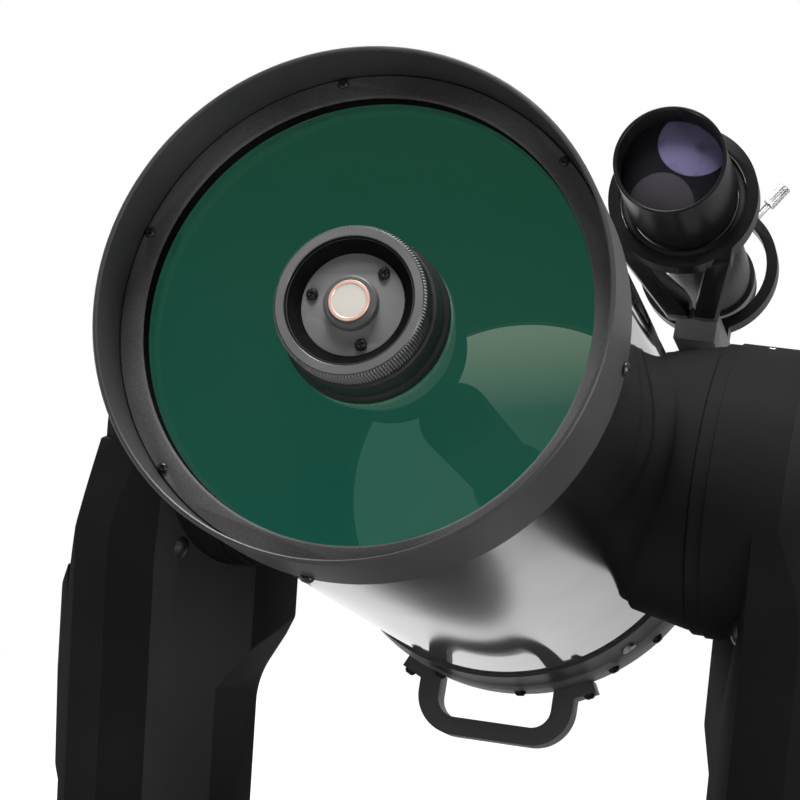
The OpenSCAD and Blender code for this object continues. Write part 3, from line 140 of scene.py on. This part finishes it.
# %% The class that wraps a shader socket
class Tone:
    """One output of a shader node. Sums and products of tones add Math nodes."""

    def __init__(self, tree, socket):
        self.tree = tree
        self.socket = socket

    def make(self, kind, settings=None, sockets=None, out=0):
        """Adds a node, sets it up, feeds its sockets and gives one of its outputs."""
        node = self.tree.nodes.new(kind)
        for key, value in (settings or {}).items():
            setattr(node, key, value)
        for key, value in (sockets or {}).items():
            if isinstance(value, Tone):
                self.tree.links.new(value.socket, node.inputs[key])
            else:
                node.inputs[key].default_value = value
        return Tone(self.tree, node.outputs[out])

    def sum_up(self, operation, first, second):
        return self.make("ShaderNodeMath", {"operation": operation}, {0: first, 1: second})

    def __add__(self, other):
        return self.sum_up("ADD", self, other)

    __radd__ = __add__

    def __sub__(self, other):
        return self.sum_up("SUBTRACT", self, other)

    def __rsub__(self, other):
        return self.sum_up("SUBTRACT", other, self)

    def __mul__(self, other):
        return self.sum_up("MULTIPLY", self, other)

    __rmul__ = __mul__

    def blend(self, low, high):
        """A colour between two others, with this tone as the share of the second."""
        mix = {"data_type": "RGBA", "clamp_factor": True}
        return self.make("ShaderNodeMix", mix, {0: self, 6: low, 7: high}, out=2)

    def grain(self, size):
        """Noise over this place, whose blotches measure about size millimetres."""
        noise = {"Vector": self, "Scale": 1 / (size * MM), "Detail": 2}
        return self.make("ShaderNodeTexNoise", None, noise)

    def steepen(self, low, high):
        """This tone stretched so that low becomes 0 and high becomes 1."""
        return self.make("ShaderNodeMapRange", None, {0: self, 1: low, 2: high})

    def along(self, start, direction):
        """How far this place lies from a start along a direction, in metres."""
        shift = {0: self, 1: start}
        shifted = self.make("ShaderNodeVectorMath", {"operation": "SUBTRACT"}, shift)
        product = {0: shifted, 1: direction}
        return self.make("ShaderNodeVectorMath", {"operation": "DOT_PRODUCT"}, product, out=1)

    def reach(self, start):
        """How far this place lies from a start, in metres."""
        ends = {0: self, 1: start}
        return self.make("ShaderNodeVectorMath", {"operation": "DISTANCE"}, ends, out=1)

    def feed(self, shader, name):
        self.tree.links.new(self.socket, shader.inputs[name])


print("operators:", [name for name in vars(Tone) if name.startswith("__")][2:])

# %% [markdown]
# Every finish starts in the same way: a new material, the values that stay fixed over the surface,
# and the place on the object, from which the rest is reckoned. Object coordinates stay with the
# piece when it moves.


# %% The start of a finish
def grey(value):
    return (value, value, value, 1)


def start_finish(name, **fixed):
    """A new material with its fixed values set, its shader, and the place on the object."""
    finish = bpy.data.materials.new(name)
    finish.use_nodes = True
    tree = finish.node_tree
    shader = tree.nodes["Principled BSDF"]
    for socket, value in fixed.items():
        shader.inputs[socket.replace("_", " ")].default_value = value
    place = tree.nodes.new("ShaderNodeTexCoord")
    return finish, shader, Tone(tree, place.outputs["Object"])


def add_relief(shader, place, height, depth):
    """Presses a tone into the surface as a bump of some depth in millimetres."""
    bump = {"Strength": 1.0, "Distance": depth * MM, "Height": height}
    place.make("ShaderNodeBump", None, bump).feed(shader, "Normal")


finishes = {}

# %% [markdown]
# ## Painted and moulded blacks
# Most of the telescope is black, yet no two blacks are alike: smooth paint on the cells, a fine
# moulded skin on the arms, a sandy coat on the glass ring. All share one recipe. A fine grain makes
# the texture, a broad one the slow changes of gloss that hands and dust leave behind.


# %% The recipe for painted and moulded surfaces
def painted(name, low, high, grain, gloss, relief, specular):
    """Colours low to high, grain size and relief in millimetres, gloss as two roughnesses."""
    finish, shader, place = start_finish(name, Specular_IOR_Level=specular)
    fine = place.grain(grain)
    broad = place.grain(60)
    mottle = (0.5 * fine + 0.5 * broad).steepen(0.3, 0.7)
    mottle.blend(low, high).feed(shader, "Base Color")
    (gloss[0] + (gloss[1] - gloss[0]) * broad).feed(shader, "Roughness")
    add_relief(shader, place, fine, relief)
    return finish


# Darkest and lightest grey, grain size, range of roughness, relief, specular level.
paints = {
    "cell_black": (0.020, 0.034, 0.5, (0.34, 0.44), 0.012, 0.2),
    "ring_grey": (0.020, 0.095, 0.45, (0.6, 0.7), 0.06, 0.1),
    "screw_black": (0.006, 0.012, 0.4, (0.25, 0.35), 0.004, 0.35),
    "holder_black": (0.016, 0.026, 0.4, (0.26, 0.36), 0.006, 0.5),
    "finder_black": (0.004, 0.008, 0.4, (0.22, 0.32), 0.004, 0.06),
    "arm_black": (0.0045, 0.008, 0.5, (0.55, 0.65), 0.012, 0.01),
    # The next finish is painted light: a lighter black for the left arm's inner facet, lit from the
    # right.
    "arm_inner": (0.013, 0.020, 0.5, (0.55, 0.65), 0.012, 0.04),
    "cover_black": (0.006, 0.011, 0.5, (0.55, 0.65), 0.012, 0.01),
    "knob_black": (0.010, 0.018, 0.6, (0.4, 0.5), 0.012, 0.18),
    "base_black": (0.005, 0.009, 0.5, (0.42, 0.52), 0.012, 0.10),
    "inside_black": (0.003, 0.006, 4, (0.9, 1.0), 0.001, 0.0),
    "plate_grey": (0.115, 0.135, 0.3, (0.5, 0.6), 0.008, 0.2),
    # The rim's grey paint is made lighter here, as painted light from below.
    "rim_grey": (0.07, 0.09, 0.5, (0.36, 0.46), 0.008, 0.3),
    # On the finder's foot and shoe this lighter black is painted light on their tops.
    "bracket_black": (0.045, 0.065, 0.5, (0.34, 0.44), 0.008, 0.2),
    "rubber": (0.010, 0.016, 0.5, (0.6, 0.75), 0.01, 0.15),
    "motor_grey": (0.22, 0.30, 0.8, (0.4, 0.5), 0.01, 0.3),
}
for name, (low, high, *rest) in paints.items():
    finishes[name] = painted(name, grey(low), grey(high), *rest)
dark_cork, light_cork = (0.30, 0.17, 0.08, 1), (0.45, 0.28, 0.14, 1)
finishes["cork"] = painted("cork", dark_cork, light_cork, 1.2, (0.8, 0.9), 0.05, 0.2)
print("painted finishes:", len(finishes))

# %% [markdown]
# ## Metals
# Screws, shafts and wheels are bare metal. A metal has no colour of its own under its gloss, so the
# recipe tints the reflection. Here the fine grain changes the gloss, as a worn or cut surface does.


# %% The recipe for metals
def metal(name, low, high, grain, gloss, relief, metallic=1.0):
    """As for paint, with the fine grain in the gloss and the broad one in the colour."""
    finish, shader, place = start_finish(name, Metallic=metallic)
    fine = place.grain(grain)
    broad = place.grain(45)
    broad.steepen(0.3, 0.7).blend(low, high).feed(shader, "Base Color")
    (gloss[0] + (gloss[1] - gloss[0]) * fine).feed(shader, "Roughness")
    add_relief(shader, place, fine, relief)
    return finish


# Darkest and lightest grey, grain size, range of roughness, relief, share of metal.
metals = {
    "tube_silver": (0.86, 0.92, 14, (0.05, 0.09), 0.010),
    "bright_metal": (0.60, 0.68, 0.6, (0.5, 0.6), 0.001),
    "steel": (0.42, 0.52, 0.8, (0.25, 0.35), 0.004),
    "knurl_grey": (0.11, 0.15, 0.35, (0.38, 0.52), 0.012, 0.7),
}
for name, (low, high, *rest) in metals.items():
    finishes[name] = metal(name, grey(low), grey(high), *rest)
dark_brass, light_brass = (0.62, 0.43, 0.16, 1), (0.72, 0.52, 0.22, 1)
finishes["brass"] = metal("brass", dark_brass, light_brass, 0.8, (0.2, 0.3), 0.004)
print("finishes:", len(finishes))

# %% [markdown]
# The tube is a drawn aluminium pipe under a mirror-gloss silver coat, with a faint ripple that
# makes its reflections waver. In the photo they are sharp, but fuzzy on the lower front side. So
# the roughness is fed anew, as a product of two slopes: one downwards and one towards the front.

# %% Softer gloss under the front of the tube
drawn = finishes["tube_silver"].node_tree
drawn_place = Tone(drawn, drawn.nodes["Texture Coordinate"].outputs["Object"])
below = drawn_place.along(tube_centre, -upward).steepen(-0.02, 0.08)
softer = below * drawn_place.along(tube_centre, forward).steepen(0.0, 0.2)
(0.05 + 0.15 * softer).feed(drawn.nodes["Principled BSDF"], "Roughness")
print("tube finish nodes:", len(drawn.nodes))

# %% [markdown]
# ## Coated glass
# The front glass carries a green coating, and one looks through it onto the black inside and the
# pale mirror at the far end. True glass would show every lamp of the studio and little green. The
# photo has the same deep green all over, so it is given as a faint glow over a part-clear surface.


# %% The front glass and the mirror
def painted_glow(name, low, high, direction, start, end, **fixed):
    """A glow from low to high along a direction, between two distances in metres from the axis."""
    black = {"Base_Color": grey(0.004), "Emission_Strength": 1.0}
    finish, shader, place = start_finish(name, **black, **fixed)
    slope = place.along(tube_centre, direction).steepen(start, end)
    hue = (slope + 0.06 * place.grain(70)).blend(low, high)
    hue.feed(shader, "Emission Color")
    return finish, shader, place, hue


# Painted reflection: the glass's green glow stands in for the room mirrored in its coating.
low_green, high_green = (0.0115, 0.112, 0.080, 1), (0.016, 0.088, 0.050, 1)
finishes["corrector_glass"] = painted_glow(
    "corrector_glass", low_green, high_green, upward, -0.11, 0.11,
    Alpha=0.4, Roughness=0.03, Specular_IOR_Level=0.05, Specular_Tint=(0.6, 1.0, 0.8, 1),
)[0]
# Painted reflection: the mirror glows greenish on the left, grey on the right, brightest near the
# top.
left_pale, right_pale = (0.045, 0.098, 0.074, 1), (0.040, 0.046, 0.043, 1)
finishes["mirror_coat"], pale_shader, pale_place, pale_hue = painted_glow(
    "mirror_coat", left_pale, right_pale, sideways, -0.08, 0.06, Roughness=0.35
)
mirror_painted_highlight = pale_place.along(tube_centre, upward - 0.2 * sideways).steepen(0.05, 0.1)
mirror_painted_highlight.blend(pale_hue, (0.30, 0.33, 0.25, 1)).feed(pale_shader, "Emission Color")
print("glowing finishes: corrector_glass, mirror_coat")

# %% [markdown]
# Behind the glass, a baffle shades the secondary mirror. The photo shows it as a narrow pale halo
# round the holder, narrower than the baffle's whole length would look. The length is a guess, so
# only the front half is pale here, and the finish falls to black behind it.

# %% The secondary baffle
finishes["baffle_grey"], baffle_shader, baffle_place = start_finish(
    "baffle_grey", Roughness=0.6, Emission_Strength=1.0
)
back, front = tube_span("secondary_baffle")[:2]
fade = (back + 0.5 * (front - back)) * MM
# Painted light: the baffle's front half is pale and glows as a painted halo; behind it, plain
# black.
near = baffle_place.along(tube_centre, forward).steepen(fade, fade + 2 * MM)
near.blend(grey(0.004), grey(0.35)).feed(baffle_shader, "Base Color")
near.blend(grey(0), (0.036, 0.042, 0.032, 1)).feed(baffle_shader, "Emission Color")
print("pale part of the baffle:", round(front - fade / MM, 1), "mm")

# %% [markdown]
# The finder's lens is nearly black. Its coating mirrors the room as a violet patch at the top right
# and a pinkish one at the bottom left. A real reflection would move with the lamps, so the patches
# are painted: each is a slope that falls at one distance from the patch's middle.


# %% The finder's lens
def disc(place, across, up, radius):
    """1 inside a circle over the lens, middle and radius in millimetres, and 0 outside."""
    middle = lens_centre + (sideways * across + upward * up) * MM
    return 1 - place.reach(middle).steepen((radius - 0.4) * MM, radius * MM)


lens_centre = sum(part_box("finder_lens"), Vector()) / 2
finishes["finder_glass"], lens_shader, lens_place = start_finish(
    "finder_glass", Roughness=0.05, Specular_IOR_Level=0.03
)
violet = disc(lens_place, 9, 15, 20)
pinkish = disc(lens_place, -3, -20.5, 18.3)
hue = pinkish.blend((0.007, 0.0065, 0.008, 1), (0.030, 0.0265, 0.032, 1))
cloud = violet * lens_place.grain(14).steepen(0.1, 0.5)
cloud.blend(hue, (0.080, 0.072, 0.130, 1)).feed(lens_shader, "Base Color")
print("finishes with glass:", len(finishes))

# %% [markdown]
# ## Rounded edges
# A real casting has no knife edges. They could be rounded in the solids, but a bevel here is quick
# to tune. For each solid a copy is merged, its flat facets are joined, its edges get a narrow bevel
# and its normals are smoothed. The copy then stands for the solid.


# %% The helpers that round a solid's edges
def choose(piece):
    """Makes a piece the only selected one."""
    bpy.ops.object.select_all(action="DESELECT")
    piece.select_set(True)
    bpy.context.view_layer.objects.active = piece


def settle(piece, name, smooth=35):
    """Smooths a finished piece, dresses it and lets it stand for a solid."""
    choose(piece)
    bpy.ops.object.shade_smooth_by_angle(angle=math.radians(smooth))
    slot = nodes[name].material_slots[0].name
    if not piece.data.materials:
        piece.data.materials.append(finishes[slot])
    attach(piece, nodes[name]["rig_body"])
    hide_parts(name)
    return piece


def apply_modifier(piece, kind, **settings):
    modifier = piece.modifiers.new(kind.lower(), kind)
    for key, value in settings.items():
        setattr(modifier, key, value)
    bpy.ops.object.modifier_apply(modifier=modifier.name)


def soften(name, width):
    """A copy of a solid with its edges rounded by width millimetres."""
    mesh = nodes[name].data.copy()
    mesh.materials.clear()
    piece = bpy.data.objects.new(name + "_shell", mesh)
    scene.collection.objects.link(piece)
    choose(piece)
    bpy.ops.object.mode_set(mode="EDIT")
    bpy.ops.mesh.select_all(action="SELECT")
    bpy.ops.mesh.remove_doubles(threshold=1e-6)
    bpy.ops.mesh.dissolve_limited(angle_limit=math.radians(0.3))
    if width > 2:
        bpy.ops.mesh.remove_doubles(threshold=0.8 * MM)
    bpy.ops.object.mode_set(mode="OBJECT")
    if width:
        apply_modifier(
            piece, "BEVEL", width=width * MM, segments=3 if width > 1 else 2,
            limit_method="ANGLE", angle_limit=math.radians(32), use_clamp_overlap=True,
        )
        apply_modifier(piece, "WEIGHTED_NORMAL", keep_sharp=True)
    return settle(piece, name)


# %% [markdown]
# Castings get wide soft edges, turned and milled parts narrow ones, and screws the narrowest. The
# smallest pieces are only smoothed, because a bevel would eat their own detail.

# %% Round the solids
edge_widths = {
    4.0: ["left_arm_cover", "right_arm_cover", "left_arm", "right_arm"],
    2.5: ["rear_handle"],
    1.8: ["fork_cross", "drive_base", "base_plate"],
    0.9: ["left_saddle", "right_saddle", "rear_cell", "finder_bracket", "azimuth_clutch_knob"],
    0.6: ["front_cell"],
    0.3: ["retaining_ring"],
    0.7: ["altitude_clutch_knob", "focus_housing", "power_switch", "finder_shoe"],
    0.4: ["finder_eyepiece", "eyepiece_holder", "focus_knob", "corrector_plate", "primary_mirror"],
    0.25: ["finder_front_cell", "finder_tube", "finder_lens", "secondary_flange",
           "secondary_holder", "secondary_plate", "secondary_baffle", "baffle_tube", "rear_plug"],
    0.12: ["finder_plunger", "eyepiece_screw", "arm_screws", "retaining_ring_screws",
           "front_cell_screws", "centring_screws", "tube_screws"],
    0: ["finder_o_ring", "secondary_mirror", "finder_screw_a", "finder_screw_b"],
}
shells = {}
for width, names in edge_widths.items():
    for name in names:
        shells[name] = soften(name, width)
        faces = shells[name].data.polygons
        print(name, "triangles:", sum(len(face.vertices) - 2 for face in faces))

# %% [markdown]
# ## Second finishes
# A few pieces carry two finishes, and could be cut in two. It is simpler to give some of their
# faces a second material, chosen by where the faces lie and which way they look. The sandy coat
# lies on the front of the glass ring, and its skirt is black. The rear cell has a grey rim, made
# lighter than its paint as painted light from below. The inner side of the left arm is painted
# lighter, a painted sheen for the light it catches from the right, and the finder's foot and shoe
# are painted lighter as painted light on their tops. The lower arm screws are black.


# %% The helpers that paint faces
def paint(piece, slot, chosen):
    """Gives a second finish to the faces for which chosen(centre, normal) holds."""
    piece.data.materials.append(finishes[slot])
    count = 0
    for face in piece.data.polygons:
        if chosen(face.center, face.normal):
            face.material_index = len(piece.data.materials) - 1
            count += 1
    print(piece.name, slot, "faces:", count)


def everywhere(place, normal):
    return True


def on_the_foot(place, normal):
    return (place - lens_centre).dot(upward) < -46 * MM


def on_the_rim(place, normal):
    return off_axis(place).length > rim_radius and abs(normal.dot(forward)) < 0.5


# %% Paint the shells
rim_radius = (tube_span("rear_cell")[3] - 1) * MM
paint(shells["retaining_ring"], "inside_black", lambda place, normal: normal.dot(forward) < 0.5)
paint(shells["secondary_baffle"], "baffle_grey", everywhere)
# Painted light: the shoe is made lighter for the light falling on its top.
paint(shells["finder_shoe"], "bracket_black", everywhere)
paint(shells["rear_handle"], "bracket_black", everywhere)
# Painted light: the bracket's foot is made lighter for the light falling on it from above.
paint(shells["finder_bracket"], "bracket_black", on_the_foot)
# Painted light: the rim's own grey is lighter, standing in for light from below.
paint(shells["rear_cell"], "rim_grey", on_the_rim)
paint(shells["baffle_tube"], "inside_black", everywhere)
# Painted sheen: the inner facet of the left arm gets a lighter black for the light it catches.
paint(shells["left_arm"], "arm_inner", lambda place, normal: normal.x > 0.35 and normal.y < -0.2)
paint(shells["arm_screws"], "screw_black", lambda place, normal: place.z < pivot.z)

# %% [markdown]
# ## Turned pieces
# The tube and the secondary's ring and cap are turned about one axis. The same can be done with a
# circle: extrude it along the outline's points, resizing it at each one, and bridge the last circle
# back to the first. Fine steps round the circle keep a mirror-gloss surface free of facets, which a
# copy of the solid's own mesh would show.


# %% The helpers that turn an outline
def turned(name, outline, steps=256, hollow=True):
    """A ring or a disc turned about Z from (radius, height) points in millimetres."""
    radius, height = outline[0]
    bpy.ops.object.select_all(action="DESELECT")
    bpy.ops.mesh.primitive_circle_add(vertices=steps, radius=radius * MM)
    piece = bpy.context.object
    piece.name = name
    bpy.ops.object.mode_set(mode="EDIT")
    bpy.ops.mesh.select_all(action="SELECT")
    bpy.ops.transform.translate(value=(0, 0, height * MM))
    for next_radius, next_height in outline[1:]:
        bpy.ops.mesh.extrude_edges_move(
            TRANSFORM_OT_translate={"value": (0, 0, (next_height - height) * MM)}
        )
        size = next_radius / radius
        middle = (0, 0, next_height * MM)
        bpy.ops.transform.resize(value=(size, size, 1), center_override=middle)
        radius, height = next_radius, next_height
    bpy.ops.mesh.select_mode(type="EDGE")
    bpy.ops.mesh.select_all(action="DESELECT")
    bpy.ops.mesh.select_non_manifold()
    if hollow:
        bpy.ops.mesh.bridge_edge_loops()
    else:
        bpy.ops.mesh.fill_holes(sides=0)
    bpy.ops.mesh.select_all(action="SELECT")
    bpy.ops.mesh.normals_make_consistent(inside=False)
    bpy.ops.mesh.select_mode(type="VERT")
    bpy.ops.mesh.select_all(action="DESELECT")
    bpy.ops.object.mode_set(mode="OBJECT")
    return piece


def put_on_tube(piece):
    """Moves a piece from the tube's frame into the telescope's, with its place in its mesh."""
    piece.matrix_world = tube_frame
    bpy.ops.object.transform_apply(location=True, rotation=True, scale=True)


def faces_the_axis(place, normal):
    return off_axis(place).dot(normal) < 0


# %% [markdown]
# The silver tube is a plain pipe, bright outside and matt black inside, so that no stray light
# reaches the eyepiece.

# %% The silver tube
back, front, bore, radius = tube_span("optical_tube")
tube = turned("silver_tube", [(radius, back), (radius, front), (bore, front), (bore, back)])
put_on_tube(tube)
settle(tube, "optical_tube")
paint(tube, "inside_black", faces_the_axis)
print("tube radius:", round(radius, 2), "length:", round(front - back, 2))

# %% [markdown]
# ## The knurled ring
# Fingers turn this ring to free the secondary mirror, so its side is cut into fine ridges. A ring
# with two points for each ridge is turned, and every second point of the band is pressed towards
# the axis. A bump in the finish would be less work, but the ridges show at the ring's outline.

# %% Knurled ring with a bare face
ridges, band, pressed = 150, 10, 0.8
back, front, bore, radius = tube_span("knurled_ring")
edge = radius - 1.2
neck = edge - 1.5
knurl = turned("knurl", [
    (bore, back), (neck, back), (neck, front - band - 2), (radius, front - band - 1.6),
    (radius, front - 1.6), (edge, front - 0.5), (edge - 0.5, front),
    (bore + 0.4, front), (bore, front - 0.4),
], steps=2 * ridges)
for vertex in knurl.data.vertices:
    turn = math.atan2(vertex.co.y, vertex.co.x) / math.pi * ridges
    on_band = vertex.co.xy.length > (radius - 0.1) * MM
    vertex.select = on_band and round(turn) % 2 == 1
bpy.ops.object.mode_set(mode="EDIT")
shrink = 1 - pressed / radius
bpy.ops.transform.resize(value=(shrink, shrink, 1), center_override=(0, 0, 0))
bpy.ops.object.mode_set(mode="OBJECT")
put_on_tube(knurl)
settle(knurl, "knurled_ring", smooth=20)
print("ridges:", ridges)

# %% [markdown]
# The ring's face is bare grey and its side black. The ridges catch the light as pale lines, and
# that light is painted: one flank of each ridge is grey, a painted highlight. The cup and the bore
# are matt black, and the boss in the middle of the floor plate is darker than the plate.


# %% Finishes of the secondary
def lit_flank(place, normal):
    return normal.dot(forward.cross(off_axis(place)).normalized()) > 0.3


def in_the_bore(place, normal):
    return normal.dot(forward) < 0.5 and faces_the_axis(place, normal)


def on_the_boss(place, normal):
    height = (place - tube_centre).dot(forward)
    raised = height > boss_top - 0.4 * MM or normal.dot(forward) < 0.9
    return raised and off_axis(place).length < boss_radius


boss_top = tube_span("secondary_plate")[1] * MM
boss_radius = 14.5 * MM
paint(knurl, "holder_black", lambda place, normal: normal.dot(forward) < 0.9)
# Painted highlight: one flank of each ridge is grey, where the real ridges catch the light.
paint(knurl, "plate_grey", lit_flank)
paint(knurl, "inside_black", in_the_bore)
cup = shells["secondary_holder"]
paint(cup, "inside_black", lambda place, normal: normal.dot(forward) < 0.95)
paint(shells["secondary_plate"], "bracket_black", on_the_boss)

# %% [markdown]
# ## The bare cap
# A thin metal disc closes the middle of the secondary holder. It is turned with a raised rim, and
# the rim has a warm copper tone. The colour follows the distance from the middle of the disc, which
# keeps the change of tone sharp whatever the mesh is like.

# %% Cap with a copper rim
back, front, bore, radius = tube_span("secondary_cap")
rim = 1.3
floor_radius = radius - rim
cap = turned("cap", [
    (radius, back), (radius, front - 0.2), (radius - 0.2, front), (floor_radius, front),
    (floor_radius - 0.2, front - 0.25), (0.5, front - 0.25),
], steps=96, hollow=False)
put_on_tube(cap)
copper, copper_shader, copper_place = start_finish(
    "cap_metal", Metallic=0.55, Specular_IOR_Level=0.3
)
outwards = copper_place.reach(tube_centre + forward * front * MM)
on_rim = outwards.steepen((floor_radius - 0.4) * MM, floor_radius * MM)
on_rim.blend((0.58, 0.55, 0.50, 1), (0.62, 0.40, 0.33, 1)).feed(copper_shader, "Base Color")
(0.3 + 0.12 * copper_place.grain(2)).feed(copper_shader, "Roughness")
cap.data.materials.append(copper)
settle(cap, "secondary_cap")
print("cap radius:", round(radius, 2))

# %% [markdown]
# ## The studio
# Product photos have a white ground and dark, controlled reflections. One light can't give both, so
# the room tells rays apart: a ray straight from the camera sees plain white, and all others see a
# dim room that is lighter behind the telescope than on the camera's side.


# %% The room
def ray_kind(tone, kind):
    """1 for rays of one kind, such as Camera or Glossy, and 0 for the rest."""
    path = tone.make("ShaderNodeLightPath")
    return Tone(tone.tree, path.socket.node.outputs[f"Is {kind} Ray"])


world = bpy.data.worlds.new("studio")
scene.world = world
world.use_nodes = True
room = world.node_tree
backdrop = room.nodes["Background"]
backdrop.inputs["Color"].default_value = grey(1)
room_light = Tone(room, backdrop.outputs[0])
heading = room_light.make("ShaderNodeTexCoord")
origin = Vector((0, 0, 0))
away = heading.along(origin, Vector((0, 1, 0))).steepen(-0.9, 0.2)
looked = ray_kind(room_light, "Camera")
strength = looked + (1 - looked) * (0.06 + 0.5 * away)
strength.feed(backdrop, "Strength")
print("room nodes:", len(room.nodes))

# %% [markdown]
# The floor is a large sheet of pale paper. Seen directly it keeps the shadow near the stand and
# fades to white further off. Mirrored in the tube, it is bright on the left, as from a window, and
# darker on the right, which gives the silver its shading.

# %% The floor
bpy.ops.object.select_all(action="DESELECT")
bpy.ops.mesh.primitive_plane_add(size=60)
floor = bpy.context.object
floor.name = "floor"
paper, paper_shader, paper_place = start_finish(
    "pale_paper", Roughness=0.9, Specular_IOR_Level=0.1
)
paper_place.grain(8).blend(grey(0.84), grey(0.86)).feed(paper_shader, "Base Color")
looked, mirrored = ray_kind(paper_place, "Camera"), ray_kind(paper_place, "Glossy")
window_side = paper_place.along(origin, Vector((-1, 0, 0))).steepen(-0.4, 0.6)
far_off = paper_place.reach(origin).steepen(0.6, 1.4)
brightness = looked + (0.02 + 0.8 * window_side + 0.5 * far_off) * mirrored
shine = {"Color": grey(1), "Strength": brightness}
glow = paper_place.make("ShaderNodeEmission", None, shine)
lit = Tone(paper.node_tree, paper_shader.outputs[0])
share = 0.55 + 0.45 * paper_place.reach(origin).steepen(0.3, 1.0)
share = share * looked + 0.88 * mirrored
sheet = paper_place.make("ShaderNodeMixShader", None, {0: share, 1: lit, 2: glow})
sheet.feed(paper.node_tree.nodes["Material Output"], "Surface")
floor.data.materials.append(paper)
print("floor nodes:", len(paper.node_tree.nodes))

# %% [markdown]
# Four soft boxes light the telescope. The large one overhead does most of the work and gives the
# glass ring its gradient. The others are weak and only open up the blacks. Area lamps are chosen
# because their size sets how soft the shadows are.


# %% The lamps
def softbox(name, place, aim, size, power):
    """An area lamp with its place and aim in metres from the pivot, and its power in watts."""
    lamp = bpy.data.lights.new(name, "AREA")
    lamp.shape = "RECTANGLE"
    lamp.size, lamp.size_y = size
    lamp.energy = power
    holder = bpy.data.objects.new(name, lamp)
    scene.collection.objects.link(holder)
    holder.location = pivot + Vector(place)
    direction = Vector(aim) - Vector(place)
    holder.rotation_euler = direction.to_track_quat("-Z", "Y").to_euler()


softbox("overhead", (-0.2, -0.02, 2.0), (0, -0.1, 0), (1.2, 0.9), 160)
softbox("left", (-1.9, -0.3, 0.2), (0, 0, 0), (0.9, 1.3), 3)
softbox("front", (0.1, -2.2, 0.95), (0, 0, 0), (0.8, 0.8), 3)
softbox("right", (1.9, -0.7, 0.1), (0, 0, -0.1), (0.8, 1.0), 24)
print("lamps:", [lamp.name for lamp in bpy.data.lights])

# %% [markdown]
# ## Dressing what is left
# The solids that stay as they are get their finishes in the slots that the frame gave them.

# %% Finishes on the remaining solids
for name, node in nodes.items():
    for slot in node.material_slots:
        slot.material = finishes[slot.name]
print("dressed solids:", len(nodes))

# %% [markdown]
# ## The end
